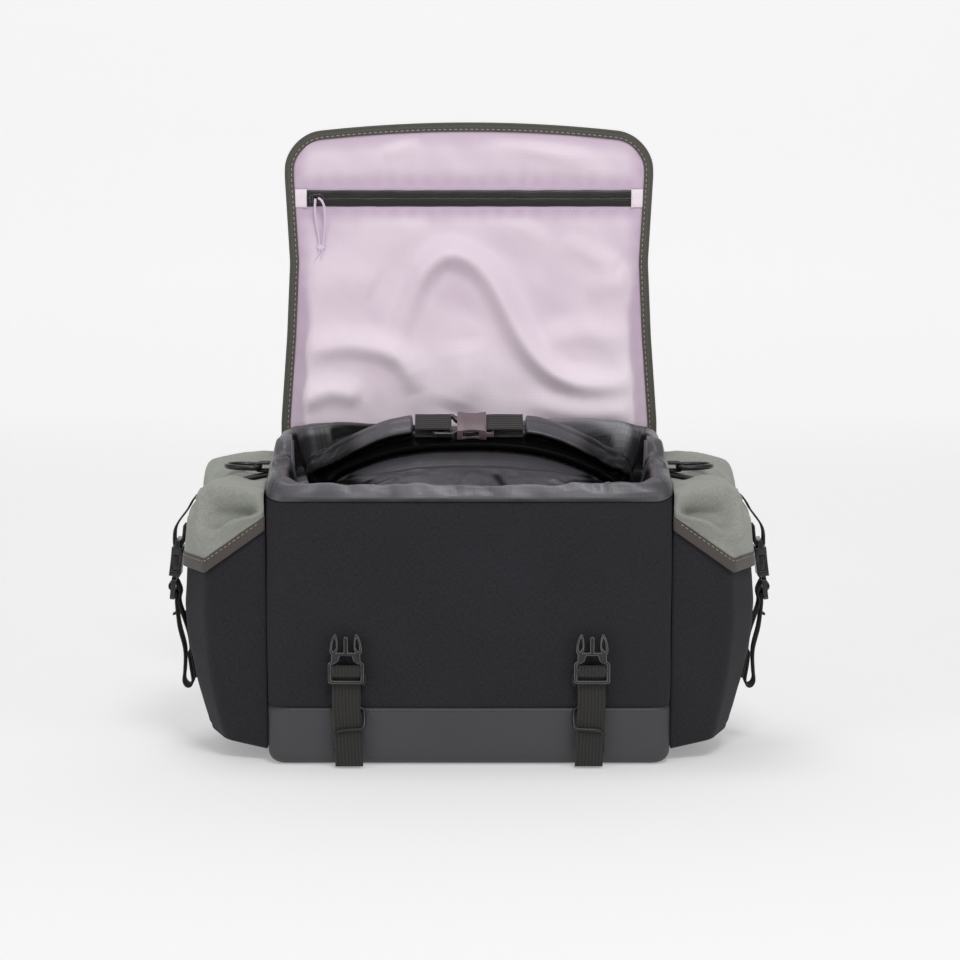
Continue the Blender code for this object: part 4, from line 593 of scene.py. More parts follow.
def pullStrand(name, spots, *replaced):
    eye = Vector(pull["eye"])
    route = evenly(curveThrough([eye + Vector((a, -b, c)) for a, b, c in spots], 8), 1.5)
    line = bpy.data.curves.new(name, "CURVE")
    line.dimensions = "3D"
    line.bevel_depth = pull["thick"] / 2 * mm
    line.bevel_resolution = 4
    line.use_fill_caps = True
    spline = line.splines.new("POLY")
    spline.points.add(len(route) - 1)
    for point, spot in zip(spline.points, route):
        point.co = (*(spot * mm), 1)
    strand = bpy.data.objects.new(name, line)
    bpy.context.scene.collection.objects.link(strand)
    dress(strand, "cord", lilacCord, *replaced)
    length = sum((b - a).length for a, b in zip(route, route[1:])) * mm
    print(name, "is", round(length, 4), "m long")
    return strand, route[0] * mm, length


knot = easedCopy("pullKnot", "pull_knot", lilacCord, "cord", smooth=2)
leftStrand, leftExit, leftLength = pullStrand("pullStrandLeft", pullLeft, "pull_cord_a", "pull_end_a")
rightStrand, rightExit, rightLength = pullStrand("pullStrandRight", pullRight, "pull_cord_b", "pull_end_b")


# The lid, thrown open: coated outside, lilac lining inside, tape round its edge and a zipped pocket

lid = {"wide": 286, "top": 446, "hem": 170, "corner": 27, "crown": 6.5, "lean": 3.0, "binding": 7,
       "bindingThick": 3.6, "liningWall": 0.9, "coverWall": 1.3, "gap": 0.3, "grid": 2.0,
       "zipBelowTop": 49.5, "zipLong": 245, "zipWide": 12, "back": 85.3, "rim": 200, "strap": 87.7,
       "foldGain": 1.9, "hang": 11.0, "hangFrom": 352, "hangOver": 112, "tucked": 210, "tuckOver": 20}
# up the lid from its hem, half width as a share of the full one
lidWaist = ((0.0, 1.0), (0.22, 0.997), (0.45, 0.963), (0.65, 0.944), (0.88, 0.968), (1.0, 0.965))
# each fold of the lining: the places it runs through (across, up), its half width and its height forward
liningFolds = (
    (((-56, 284), (-44, 320), (-33, 343), (-17, 355), (1, 351), (18, 334), (33, 306), (50, 280), (70, 264),
      (99, 258), (129, 263)), 9, 6.5),
    (((-130, 281), (-98, 288), (-67, 285), (-48, 274), (-40, 252)), 10, 5.0),
    (((-131, 244), (-105, 254), (-80, 249)), 9, 3.6),
    (((-11, 238), (-3, 264), (-6, 292)), 15, 4.0),
    (((54, 288), (84, 296), (122, 292)), 11, 2.6),
    (((88, 330), (129, 338)), 10, 2.4),
    (((69, 369), (99, 351), (112, 346)), 8, 1.7),
    (((-64, 424), (-48, 434), (-38, 439)), 7, 2.0),
    (((8, 438), (54, 429), (92, 420)), 8, 2.2),
    (((-129, 330), (-90, 335), (-70, 328)), 18, 2.2),
    (((-60, 372), (-30, 368)), 14, 1.8),
    (((40, 246), (84, 238), (128, 240)), 9, 3.0),
    (((30, 380), (62, 362)), 8, 1.4),
)


def lidPlane(z):
    return lid["back"] + (z - lid["hem"]) * math.tan(math.radians(lid["lean"]))


def lidHalf(z, inset):
    share = (z - lid["hem"]) / (lid["top"] - lid["hem"])
    side = lid["wide"] / 2 * lookUp(lidWaist, share)[0]
    radius = lid["corner"] - inset
    above = z - (lid["top"] - lid["corner"])
    if above <= 0:
        return side - inset
    return side - lid["corner"] + math.sqrt(max(0.0, radius**2 - above**2))


def lidCrown(x, z):
    share = smoothStep((z - (lid["top"] - 2 * lid["corner"])) / (2 * lid["corner"]))
    return lid["crown"] * share * (1 - (x / (lid["wide"] / 2 - lid["corner"])) ** 2)


def foldLines(folds):
    # each fold as a smooth line of places, with the box outside which it does nothing
    lines = []
    for spots, width, height in folds:
        line = curveThrough([Vector(spot) for spot in spots], 3)
        count = len(line) - 1
        marks = []
        for i, spot in enumerate(line):
            fade = smoothStep(0.25 + 3.2 * min(i, count - i) / count)
            marks.append((spot.x, spot.y, height * fade))
        reach = 2.6 * width
        box = (min(p.x for p in line) - reach, max(p.x for p in line) + reach,
               min(p.y for p in line) - reach, max(p.y for p in line) + reach)
        lines.append((marks, width, box))
    return lines


def foldSum(x, z, lines):
    # ridges and valleys along lines, gone at 2.6 widths from them
    total = 0.0
    for marks, width, (left, right, low, high) in lines:
        if not (left < x < right and low < z < high):
            continue
        nearest, height = 1e9, 0.0
        for (x0, z0, h0), (x1, z1, h1) in zip(marks, marks[1:]):
            runX, runZ = x1 - x0, z1 - z0
            share = ((x - x0) * runX + (z - z0) * runZ) / (runX * runX + runZ * runZ)
            share = max(0.0, min(1.0, share))
            awayX, awayZ = x - x0 - runX * share, z - z0 - runZ * share
            away = awayX * awayX + awayZ * awayZ
            if away < nearest:
                nearest, height = away, h0 + (h1 - h0) * share
        total += height * math.exp(-nearest / width**2)
    return total


foldsOfLining = foldLines(liningFolds)


def hangingForward(z):
    return lid["hang"] * smoothStep((lid["hangFrom"] - z) / lid["hangOver"])


def liningForward(x, z):
    # how far the loose lining stands forward of flat
    zipAt = lid["top"] - lid["zipBelowTop"]
    fromZip = abs(z - zipAt) - lid["zipWide"] / 2
    fromEdge = min(lidHalf(z, 0) - lid["binding"] - abs(x), lid["top"] - lid["binding"] - z)
    held = smoothStep((fromZip - 3) / 12) * smoothStep(fromEdge / 14)
    spot = Vector((x, z, 0))
    loose = lid["foldGain"] * foldSum(x, z, foldsOfLining)
    loose += 1.6 * ripple(spot, 46, 3.1) + 0.7 * ripple(Vector((x + z, (z - x) * 0.5, 0)), 19, 8.0)
    # the cloth hangs further forward towards the bag, and goes back behind its rim
    loose += hangingForward(z)
    low = smoothStep((z - lid["tucked"]) / lid["tuckOver"])
    # the seams beside the zip gather the cloth into short puckers
    pucker = math.exp(-max(0.0, fromZip - 2.5) / 7) * (0.5 + 0.5 * ripple(Vector((x, 0, 0)), 24, 5.0))
    comb = math.sin(x * 0.46 + 2.2 * ripple(Vector((x, z * 0.4, 0)), 16, 1.0))
    edgePucker = math.exp(-fromEdge / 6) * math.sin(z * 0.42 + 2.5 * ripple(Vector((z, 0, 0)), 20, 4.0))
    flatTape = smoothStep((fromZip - 1.5) / 2)
    loose = loose + 2.0 if loose > 0 else 2.0 * math.exp(loose / 2.0)
    gathers = flatTape * (0.55 * pucker * comb + 0.35 * edgePucker) * smoothStep(fromEdge / 3)
    return loose * held * (0.12 + 0.88 * low) + gathers


def lidGrid(inset, spacing, behind, forwardAt):
    top = lid["top"] - inset
    roundLow = lid["top"] - lid["corner"]
    radius = lid["corner"] - inset
    steps = round((roundLow - lid["hem"]) / spacing)
    levels = [lid["hem"] + (roundLow - lid["hem"]) * i / steps for i in range(steps)]
    turns = round(radius * 1.57 / spacing)
    levels += [roundLow + radius * math.sin(math.radians(90 * i / turns)) for i in range(turns + 1)]
    columns = round(lid["wide"] / spacing)
    grid = []
    for z in levels:
        half = lidHalf(min(z, top - 0.02), inset)
        line = []
        for i in range(columns + 1):
            x = half * (2 * i / columns - 1)
            line.append(Vector((x, lidPlane(z) + behind - forwardAt(x, z), z + lidCrown(x, z))))
        grid.append(line)
    return grid


def lidOutline(inset, foot, spacing):
    # up the lid's left edge, over its top and down its right edge
    roundLow = lid["top"] - lid["corner"]
    radius = lid["corner"] - inset
    steps = round((roundLow - foot) / spacing)
    half = []
    for i in range(steps):
        z = foot + (roundLow - foot) * i / steps
        half.append(Vector((-lidHalf(z, inset), lidPlane(z), z)))
    centre = lidHalf(roundLow, 0) - lid["corner"]
    for i in range(19):
        turn = math.radians(5 * i)
        x, z = -centre - radius * math.cos(turn), roundLow + radius * math.sin(turn)
        half.append(Vector((x, lidPlane(z), z + lidCrown(x, z))))
    top = lid["top"] - inset
    steps = round(centre / spacing)
    for i in range(1, steps + 1):
        x = -centre * (1 - i / steps)
        half.append(Vector((x, lidPlane(top), top + lidCrown(x, top))))
    return half + [Vector((-p.x, p.y, p.z)) for p in reversed(half[:-1])]


def liningPiece():
    inset = lid["binding"] - 2
    grid = lidGrid(inset, lid["grid"], 0.0, liningForward)
    # painted shade: the lilac is made greyer towards the lid's top, and in the folds' hollows
    paintedShadingValues = []
    for line in grid:
        for spot in line:
            stands = lidPlane(spot.z) - spot.y - hangingForward(spot.z)
            liningPaintedShade = 0.32 * smoothStep((spot.z - 225) / 100) + 0.6 * smoothStep((3.0 - stands) / 4)
            paintedShadingValues.append(min(1.0, liningPaintedShade))
    piece = sheetPiece("lidLining", grid, lid["liningWall"], paintedShadingValues=paintedShadingValues)
    dress(piece, "lining", liningRipstop, "lid_lining")


def coverPiece():
    inset = lid["binding"] - 2

    def backward(x, z):
        spot = Vector((x, z, 20))
        edge = smoothStep((lidHalf(z, 0) - abs(x)) / 25) * smoothStep((lid["top"] - z) / 25)
        edge *= smoothStep((abs(abs(x) - lid["strap"]) - 11) / 14)  # the sewn straps hold it flat
        return -edge * (1.5 * ripple(spot, 60, 2.0) + 0.8 * ripple(spot, 24, 6.0) + 0.5)

    behind = lid["liningWall"] + lid["gap"] + lid["coverWall"]
    grid = [list(reversed(line)) for line in lidGrid(inset, 3.5, behind, backward)]
    piece = sheetPiece("lidCover", grid, lid["coverWall"])
    dress(piece, "coated", lidCoat, "lid_cover")


def lidBinding():
    foot, wide = lid["rim"], lid["binding"]
    edge = lidOutline(0, foot, 3)
    inner = lidOutline(wide, foot, 3)
    stack = lid["liningWall"] + lid["coverWall"] + lid["gap"]
    half = lid["bindingThick"] / 2
    behind = stack - half - (lid["bindingThick"] - stack) / 2
    path, axes, outs, stitches = [], [], [], []
    for i, (far, near) in enumerate(zip(edge, inner)):
        inward = (near - far).normalized()
        run = (edge[min(i + 1, len(edge) - 1)] - edge[max(i - 1, 0)]).normalized()
        wave = 0.35 * ripple(far, 22, 9.0)
        path.append(far + deep * (behind + wave))
        axes.append(inward)
        outs.append(inward.cross(run).normalized())
        stitches.append((far + inward * (wide - 1.8) + deep * (behind - half + wave), -deep))
    profile = [(0.0, 0.0), (0.15, 0.6 * half), (0.7, 0.92 * half), (1.6, half), (4.0, half * 0.98),
               (wide - 0.6, half * 0.92), (wide, half * 0.72), (wide, 0.0)]
    profile += [(a, -b) for a, b in reversed(profile[1:-1])]
    piece = tapePiece("lidBinding", path, axes, profile, outs)
    finishWith(piece, "SUBSURF", levels=1, render_levels=1)
    dress(piece, "edging", lidTape, "lid_binding")
    backs = [(spot + deep * lid["bindingThick"], deep) for spot, _ in stitches]
    small = {"length": 2.4, "gap": 1.6, "thick": 0.6, "lift": 0.05}
    stitchPiece("lidBindingStitches", [stitches, backs], beigeThread, "edging", small)


# the zip tape's folded edge: up from the coil, and forward
zipEdge = ((0.35, 0.2), (0.5, 0.9), (1.1, 1.25), (2.2, 1.2), (3.6, 1.0))


def lidZip():
    z = lid["top"] - lid["zipBelowTop"]
    long, wide = lid["zipLong"], lid["zipWide"]
    face = lidPlane(z) - 0.35
    # tape in two halves whose folded edges meet over the coil
    for half, name in ((-1, "zipTapeLow"), (1, "zipTapeHigh")):
        rows = []
        for outward, forward in (*zipEdge, (wide / 2 - 0.5, 0.8), (wide / 2, 0.35)):
            line = []
            for i in range(124):
                x = long * (i / 123 - 0.5)
                wave = 0.12 * math.sin(x * 0.21 + half)
                wave += 0.15 * ripple(Vector((x, outward * 3, half)), 14, 2.0)
                y = face - forward - wave * min(1.0, forward)
                line.append(Vector((x, y, z + half * outward + wave * 0.8)))
            rows.append(line)
        if half < 0:
            rows.reverse()
        piece = sheetPiece(name, rows, 0.3)
        dress(piece, "zip", zipCloth, *(["lid_zip"] if half < 0 else []))
    # the coil that shows between them as a fine dotted line
    points, faces, pitch = [], [], 1.6
    count = round(long / pitch)
    for i in range(count):
        x = long * ((i + 0.5) / count - 0.5)
        first = len(points)
        for dx in (-0.5, 0.5):
            for dz, dy in ((-0.55, 0), (-0.3, 0.5), (0.3, 0.5), (0.55, 0)):
                points.append(Vector((x + dx * pitch * 0.62, face - 0.9 - dy, z + dz)))
        for c in range(3):
            faces.append((first + c, first + c + 1, first + 5 + c, first + 4 + c))
        faces += [(first + 3, first + 2, first + 1, first), (first + 4, first + 5, first + 6, first + 7),
                  (first, first + 4, first + 7, first + 3)]
    coil = meshPiece("zipCoil", points, faces)
    dress(coil, "zip", coilNylon)
    easedCopy("zipSlider", "zip_slider", blackAcetal, "plastic", edge=0.4)


def zipEnds():
    # a lilac patch sewn over each end of the zip
    z = lid["top"] - lid["zipBelowTop"]
    for word, mirror in sides:
        rows = []
        for high in (-1.0, -0.92, -0.5, 0.0, 0.5, 0.92, 1.0):
            line = []
            for out in (-0.8, -0.5, 1.5, 4.5, 7.5, 8.2):
                x = mirror * (lid["zipLong"] / 2 + out)
                raised = 0.5 if abs(high) < 1 and -0.8 < out < 8.2 else 0.0
                tall = lid["zipWide"] / 2 + 0.8
                y = lidPlane(z) - 1.0 - raised - 0.9 * math.exp(-(out / 1.6) ** 2)
                line.append(Vector((x, y, z + high * tall)))
            rows.append(line if mirror > 0 else list(reversed(line)))
        piece = sheetPiece(f"zipEnd_{word}", rows, 0.4)
        dress(piece, "lining", liningRipstop)


def liningSeams():
    # a row of small stitches above and below the zip, right across the lining
    zipAt = lid["top"] - lid["zipBelowTop"]
    lines = []
    for dz in (lid["zipWide"] / 2 + 2.2, -lid["zipWide"] / 2 - 2.2):
        z = zipAt + dz
        half = lidHalf(z, lid["binding"])
        line = []
        for i in range(90):
            x = half * (2 * i / 89 - 1)
            line.append((Vector((x, lidPlane(z) - liningForward(x, z) - 0.05, z)), -deep))
        lines.append(line)
    fine = {"length": 1.7, "gap": 1.0, "thick": 0.4, "lift": 0.0}
    stitchPiece("liningStitches", lines, lilacCord, "lining", fine)


liningPiece()
coverPiece()
lidBinding()
lidZip()
zipEnds()
liningSeams()
print("lid made")


# The main bag: canvas walls that bow a little, and a coated base that comes up round them

bag = {"wide": 290, "deep": 170, "seam": 190, "rise": 20, "run": 45, "band": 42, "round": 9, "corner": 14,
       "wall": 2.5, "belly": 3, "spacing": 3.0}
bellyShares = ((0.0, 0.0), (0.2, 0.45), (0.5, 1.0), (0.8, 0.8), (1.0, 0.35))
side, front, back = bag["wide"] / 2, -bag["deep"] / 2, bag["deep"] / 2


def bellyAt(z):
    return bag["belly"] * lookUp(bellyShares, z / bag["seam"])[0]


def frontFace(x, z):
    return front - bellyAt(z) * max(0.0, 1 - (x / side) ** 2)


def rimHeight(y):
    return bag["seam"] + bag["rise"] * (1 - math.exp(-max(0.0, y - front) / bag["run"]))


def bagPlan(inset, spacing):
    # the main bag's outline seen from above, anticlockwise from the left end of the front
    plan = []
    corner = bag["corner"]
    radius = max(corner - inset, 1)
    for turn in range(4):
        quarter = Matrix.Rotation(math.radians(90 * turn), 2)
        reach, out = (side, back) if turn % 2 == 0 else (back, side)
        steps = round(2 * (reach - corner) / spacing)
        for i in range(steps):
            plan.append(quarter @ Vector(((2 * i / steps - 1) * (reach - corner), -(out - inset))))
        centre = quarter @ Vector((reach - inset - radius, -(out - inset - radius)))
        for i in range(6):
            angle = math.radians(90 * turn - 90 + 15 * i)
            plan.append(centre + radius * Vector((math.cos(angle), math.sin(angle))))
    return plan


def bagRing(z, inset=0.0, heightAt=None, spacing=None):
    ring = []
    for spot in bagPlan(inset, spacing or bag["spacing"]):
        x, y = spot
        if y < 0 and abs(x) < side - bag["corner"]:
            y -= bellyAt(z) * (1 - (x / (side - bag["corner"])) ** 2)
        ring.append(Vector((x, y, heightAt(spot.y) if heightAt else z)))
    return ring


def outOf(spot):
    # straight out of the main bag's wall at a place
    nearX, nearY = side - abs(spot.x), back - abs(spot.y)
    corner = Vector((max(0.0, bag["corner"] - nearX), max(0.0, bag["corner"] - nearY), 0))
    flat = Vector((math.copysign(corner.x, spot.x), math.copysign(corner.y, spot.y), 0))
    return flat.normalized() if flat.length > 1e-6 else Vector((0, 0, 0))


def bagWalls():
    foot, top = bag["band"] + 0.15, bag["seam"]
    rows = round((top - foot) / bag["spacing"])
    rims = bagRing(top, 0, rimHeight)
    grid = []
    for r in range(rows + 1):
        share = r / rows
        ring = bagRing(foot + (top - foot) * share)
        line = []
        for spot, rim in zip(ring, rims):
            spot.z = foot + (rim.z - foot) * share
            fine = ripple(Vector((spot.x, spot.y, spot.z * 0.5)), 17, 4.0)
            soft = 0.7 * ripple(spot, 55, 1.0) + 0.25 * fine
            edge = min(1.0, 8 * share, 8 * (1 - share))
            tall = rim.z - foot
            seamDip = 0.7 * math.exp(-(1 - share) * tall / 1.6) + 0.5 * math.exp(-share * tall / 1.6)
            line.append(spot + outOf(spot) * (soft * edge - seamDip))
        grid.append(line)
    piece = sheetPiece("bagWalls", grid, bag["wall"], closed=True)
    dress(piece, "weave", bodyCanvas, "main_shell")


def baseTub():
    rings = []
    for shrink in (0.04, 0.3, 0.6, 0.85, 0.96):
        rings.append([Vector((p.x * shrink, p.y * shrink, 0.0)) for p in bagRing(0, bag["round"])])
    for i in range(7):
        angle = math.radians(15 * i)
        drop = bag["round"] * (1 - math.sin(angle))
        rings.append(bagRing(bag["round"] * (1 - math.cos(angle)), drop))
    top = bag["band"] - 0.15
    steps = 11
    for r in range(1, steps + 1):
        z = bag["round"] + (top - bag["round"]) * r / steps
        ring = bagRing(z)
        edge = min(1.0, (steps - r) / 3, r / 2)
        dip = 0.4 if r == steps else 0
        rings.append([p + outOf(p) * (0.45 * edge * ripple(p, 40, 7.0) - dip) for p in ring])
    piece = sheetPiece("baseTub", rings, bag["wall"], closed=True, capped=True)
    dress(piece, "coated", baseCoat, "base_tub")


def panelSeams():
    # the stitched seam where the coated base is sewn on
    low = []
    for spot in bagRing(bag["band"] - 2.4):
        if spot.y < 0 and abs(spot.x) < side - 6 or abs(spot.x) < side - 20:
            low.append((spot + outOf(spot) * 0.05, outOf(spot)))
    fronts = [entry for entry in low if entry[0].y < 0]
    backs = [entry for entry in low if entry[0].y > 0]
    fine = {"length": 2.2, "gap": 1.6, "thick": 0.42, "lift": 0.05}
    stitchPiece("baseStitches", [fronts, backs], darkThread, "coated", fine)


# The roll-top collar: thin ripstop gathered from the rim over a crest and down to the roll

collar = {"high": 45, "wall": 1.0, "slotLong": 208, "slotWide": 8, "rollBack": 6, "rollWide": 23,
          "rollThick": 8, "lift": 35, "sag": 28, "tilt": 28, "armLift": 45, "armEnd": 41, "rollEnd": 119}
# 0 front middle, 1 front corner, 2 back corner, 3 back middle: way to the crest as a share of the way to
# the slot, heights of the crest and of the floor behind it as shares of the collar's height
collarStations = (
    (0.0, 0.10, 0.24, 0.12), (0.6, 0.10, 0.24, 0.04), (0.9, 0.16, 0.30, -0.02), (1.1, 0.34, 0.46, -0.06),
    (1.35, 0.36, 0.58, -0.04), (1.6, 0.38, 0.72, 0.04), (1.85, 0.38, 0.82, 0.14), (2.2, 0.36, 0.93, 0.26),
    (2.6, 0.32, 0.90, 0.32), (3.0, 0.30, 0.86, 0.36),
)
# share of the way to the crest, share of the rise
collarRise = ((0.0, 0.0), (0.05, 0.32), (0.18, 0.62), (0.48, 0.90), (1.0, 1.0))
# share of the way on to the slot, shares of the fall to the floor and of the rise from it
collarFall = ((0.12, 0.25, 0.0), (0.26, 0.75, 0.0), (0.42, 1.0, 0.15), (0.62, 1.0, 0.4), (0.82, 1.0, 0.7),
              (1.0, 1.0, 1.0))
# start and end as shares of half the width and half the depth, half width in mm, height in mm
collarFolds = (
    (-0.96, -0.05, -0.35, 0.42, 7.6, 9.9), (-0.90, 0.35, -0.30, 0.62, 6, -7.2),
    (0.96, -0.10, 0.40, 0.34, 6.8, 9.9), (0.92, 0.32, 0.22, 0.60, 6, -8.1),
    (0.80, 0.62, 0.30, 0.80, 6.8, 3.6), (-0.25, -0.93, -0.16, -0.86, 6, 2.2),
    (0.52, -0.95, 0.70, -0.85, 6, 2.2),
)
# the finer creases that sweep from the corners in to the roll's ends
collarCreases = (
    (-0.97, -0.45, -0.55, 0.10, 2.8, 3.6), (-0.95, -0.30, -0.48, 0.26, 2.4, -3.0),
    (-0.93, -0.12, -0.40, 0.36, 2.4, 3.6), (-0.90, 0.08, -0.30, 0.50, 2.4, -3.0),
    (-0.86, 0.30, -0.26, 0.66, 2.6, 3.2), (-0.70, 0.62, -0.2, 0.80, 2.6, -2.4),
    (0.97, -0.50, 0.60, 0.06, 2.8, 3.6), (0.95, -0.34, 0.52, 0.20, 2.4, -3.0),
    (0.93, -0.16, 0.46, 0.32, 2.4, 3.6), (0.90, 0.04, 0.34, 0.46, 2.4, -3.0),
    (0.88, 0.26, 0.28, 0.60, 2.6, 3.2), (0.72, 0.58, 0.2, 0.76, 2.6, -2.4),
    (-0.80, -0.78, -0.50, -0.35, 2.8, -2.6), (-0.66, -0.84, -0.38, -0.40, 3.0, 2.2),
    (0.82, -0.76, 0.54, -0.32, 2.8, -2.6), (0.68, -0.82, 0.42, -0.38, 3.0, 2.2),
    (-0.10, -0.80, 0.02, -0.35, 3.4, 1.2), (0.22, -0.78, 0.14, -0.35, 3.4, -1.2),
)


def turnStart():
    return collar["armEnd"] + (collar["rollEnd"] - collar["armEnd"]) * 0.87


def rollHeight(x):
    return bag["seam"] + collar["lift"] - collar["sag"] * min(1.0, abs(x) / turnStart()) ** 2.6


def rollUnderside(x, y):
    tilt = math.radians(collar["tilt"])
    slope = (y - collar["rollBack"]) * math.tan(tilt)
    return rollHeight(x) + slope - collar["rollThick"] / 2 / math.cos(tilt)


def stationOf(spot):
    far, deepShare = abs(spot.x) / side, (spot.y - front) / bag["deep"]
    if deepShare < 0.04:
        return min(far, 1.0)
    if deepShare > 0.96:
        return 3 - min(far, 1.0)
    return 1 + deepShare


def creaseSum(x, y, creases):
    total = 0.0
    for x0, y0, x1, y1, width, height in creases:
        startX, startY = x0 * side, y0 * back
        runX, runY = (x1 - x0) * side, (y1 - y0) * back
        share = ((x - startX) * runX + (y - startY) * runY) / (runX * runX + runY * runY)
        share = max(0.0, min(1.0, share))
        away = math.hypot(x - startX - runX * share, y - startY - runY * share) / width
        if away < 3:
            total += height * math.exp(-away * away)
    return total


def between(table, place):
    # a smooth reading of a table at a row number with a fraction
    i = min(int(place), len(table) - 2)
    t = place - i
    rows = [table[max(0, min(len(table) - 1, k))] for k in (i - 1, i, i + 1, i + 2)]
    found = []
    for p0, p1, p2, p3 in zip(*rows):
        bend = (p2 - p0) * t + (2 * p0 - 5 * p1 + 4 * p2 - p3) * t**2
        found.append(p1 + (bend + (3 * p1 - p0 - 3 * p2 + p3) * t**3) / 2)
    return found


def collarGrid(substeps):
    rim = bagRing(bag["seam"], 0, rimHeight, 2.4)
    stages = len(collarRise) + len(collarFall) - 1
    marks = [i / substeps for i in range(stages * substeps + 1)]
    grid = [[] for _ in marks]
    paintedShadingValues = [[] for _ in marks]
    for spot in rim:
        start = spot + up * 0.3
        endX = spot.x / side * collar["slotLong"] / 2
        endY = collar["rollBack"] + spot.y / back * collar["slotWide"] / 2
        end = Vector((endX, endY, rollUnderside(endX, endY) - 0.3))
        way, crest, floor = lookUp(collarStations, stationOf(spot))
        crestZ, floorZ = bag["seam"] + crest * collar["high"], bag["seam"] + floor * collar["high"]
        profile = [(way * at, start.z + (crestZ - start.z) * rise) for at, rise in collarRise]
        for at, fall, rise in collarFall:
            bottom = floorZ + (end.z - floorZ) * rise
            profile.append((way + (1 - way) * at, crestZ + (bottom - crestZ) * fall))
        frontLip = smoothStep((-spot.y - 60) / 22) * smoothStep((side - 8 - abs(spot.x)) / 30)
        for line, shadingRow, mark in zip(grid, paintedShadingValues, marks):
            share, z = between(profile, mark)
            share = max(0.0, min(1.0, share))
            here = start.lerp(end, share)
            fade = smoothStep(share / (way * 0.3)) * smoothStep((1 - share) / 0.3)
            relief = creaseSum(here.x, here.y, collarFolds) + creaseSum(here.x, here.y, collarCreases)
            z += fade * relief
            fine = ripple(Vector((here.x, here.y * 1.4, 0)), 9, 2.0)
            z += fade * (1.1 * ripple(here, 21, 5.0) + 0.6 * fine)
            # the lip's crisp folded edge over the front panel, and the waves that run up to it
            lip = math.exp(-abs(mark - 2.9) / 0.42)
            z += frontLip * lip * (3.3 + 0.5 * ripple(Vector((spot.x, 0, 0)), 26, 3.0))
            z -= frontLip * 2.6 * math.exp(-((mark - 4.2) / 0.7) ** 2)
            here.z = z
            # sharp small crests that lean along the lip, and the tuck under it at the seam
            crests = 0.5 - 2.4 * abs(ripple(Vector((spot.x + mark * 4.0, mark * 5.0, 0)), 19, 6.0))
            crests += 0.4 * ripple(Vector((spot.x, mark * 3, 0)), 7, 2.0)
            bulge = smoothStep(mark / 1.3) * smoothStep((4.0 - mark) / 1.0)
            here.y -= frontLip * bulge * (3.0 + 1.3 * crests)
            if way < share < 1 and abs(here.y - collar["rollBack"]) < collar["rollWide"]:
                here.z = min(here.z, rollUnderside(here.x, here.y) - 0.9)
            line.append(here)
            # painted shading for the ripstop: painted shade in the pits beside and behind the roll, in the
            # valleys and under the lip at the seam; painted highlight along the lip's top and the ridges,
            # stored below nought
            below = smoothStep((crestZ - here.z - 0.4 - 4 * smoothStep((here.y + 10) / 60)) / 4)
            aside = smoothStep((abs(here.x) - 50 + 16 * smoothStep(here.y / 30)) / 24)
            caught = 0.9 * smoothStep((relief - 0.4) / 1.8)
            pitShade = smoothStep((mark - 4.0) / 0.5) * below * aside * (1 - caught)
            pitShade *= 1 - 0.25 * smoothStep((here.y - 12) / 20)
            valleyShade = 0.95 * fade * smoothStep((-relief + 0.2) / 1.6) * smoothStep((mark - 1.0) / 2)
            under = 0.55 * frontLip * smoothStep((0.9 - mark) / 0.7)
            paintedShine = 0.62 * frontLip * smoothStep((mark - 0.6) / 0.6) * smoothStep((3.9 - mark) / 0.9)
            paintedShine *= max(0.25, min(1.3, 0.8 + 0.45 * crests))
            ridgeHighlight = smoothStep((relief - 1.2) / 2.4) * smoothStep((here.y + 20) / 30)
            paintedShine = max(paintedShine, 0.75 * fade * ridgeHighlight)
            dark = max(pitShade, valleyShade, under)
            shadingRow.append(dark if dark > paintedShine else -paintedShine)
    return grid, [value for shadingRow in paintedShadingValues for value in shadingRow]


def collarPiece():
    grid, paintedShadingValues = collarGrid(7)
    piece = sheetPiece("rollTopCollar", grid, collar["wall"], closed=True, paintedShadingValues=paintedShadingValues)
    dress(piece, "ripstop", collarRipstop, "collar")
    flat, area = clothSize(grid, closed=True)
    area = max(area, 0.31 * flat[0] * flat[1])
    # the seams up the two front corners
    lines = []
    for mirror in (-1, 1):
        corner = Vector((mirror * (side - 3), front + 3))
        column = min(range(len(grid[0])), key=lambda c: (grid[0][c].xy - corner).length)
        line = [grid[r][column] for r in range(1, 30)]
        out = Vector((mirror * 0.6, -0.7, 0.4)).normalized()
        lines.append([(spot + out * 0.15, out) for spot in line])
    fine = {"length": 1.9, "gap": 1.5, "thick": 0.6, "lift": 0.1}
    stitchPiece("collarSeamStitches", lines, darkThread, "ripstop", fine)


def rollPath():
    # from one clipped end out to its fold, back under itself and up to the other end
    armLine = ((0.0, 0.0), (0.14, 0.07), (0.34, 0.25), (0.58, 0.58), (0.75, 0.86), (0.87, 1.0))
    high = bag["seam"] + collar["armLift"]
    low = bag["seam"] + collar["lift"] - collar["sag"] + collar["rollThick"] * 1.5
    reach = collar["rollEnd"] - collar["armEnd"]
    arm = [Vector((collar["armEnd"] + reach * share, 0, high + (low - high) * down))
           for share, down in armLine]
    turnX, baseZ = turnStart(), rollHeight(turnStart())
    radius = (arm[-1].z - baseZ) / 2
    turn = [Vector((turnX + radius * 1.1 * math.sin(a), 0, baseZ + radius * (1 + math.cos(a))))
            for a in (math.radians(d) for d in (36, 72, 108, 144, 180))]
    run = [Vector((x, 0, rollHeight(x))) for x in (90, 70, 50, 30, 12)]
    half = arm + turn + run
    line = half + [Vector((0, 0, rollHeight(0)))] + [Vector((-p.x, 0, p.z)) for p in reversed(half)]
    return [p + deep * collar["rollBack"] for p in line]


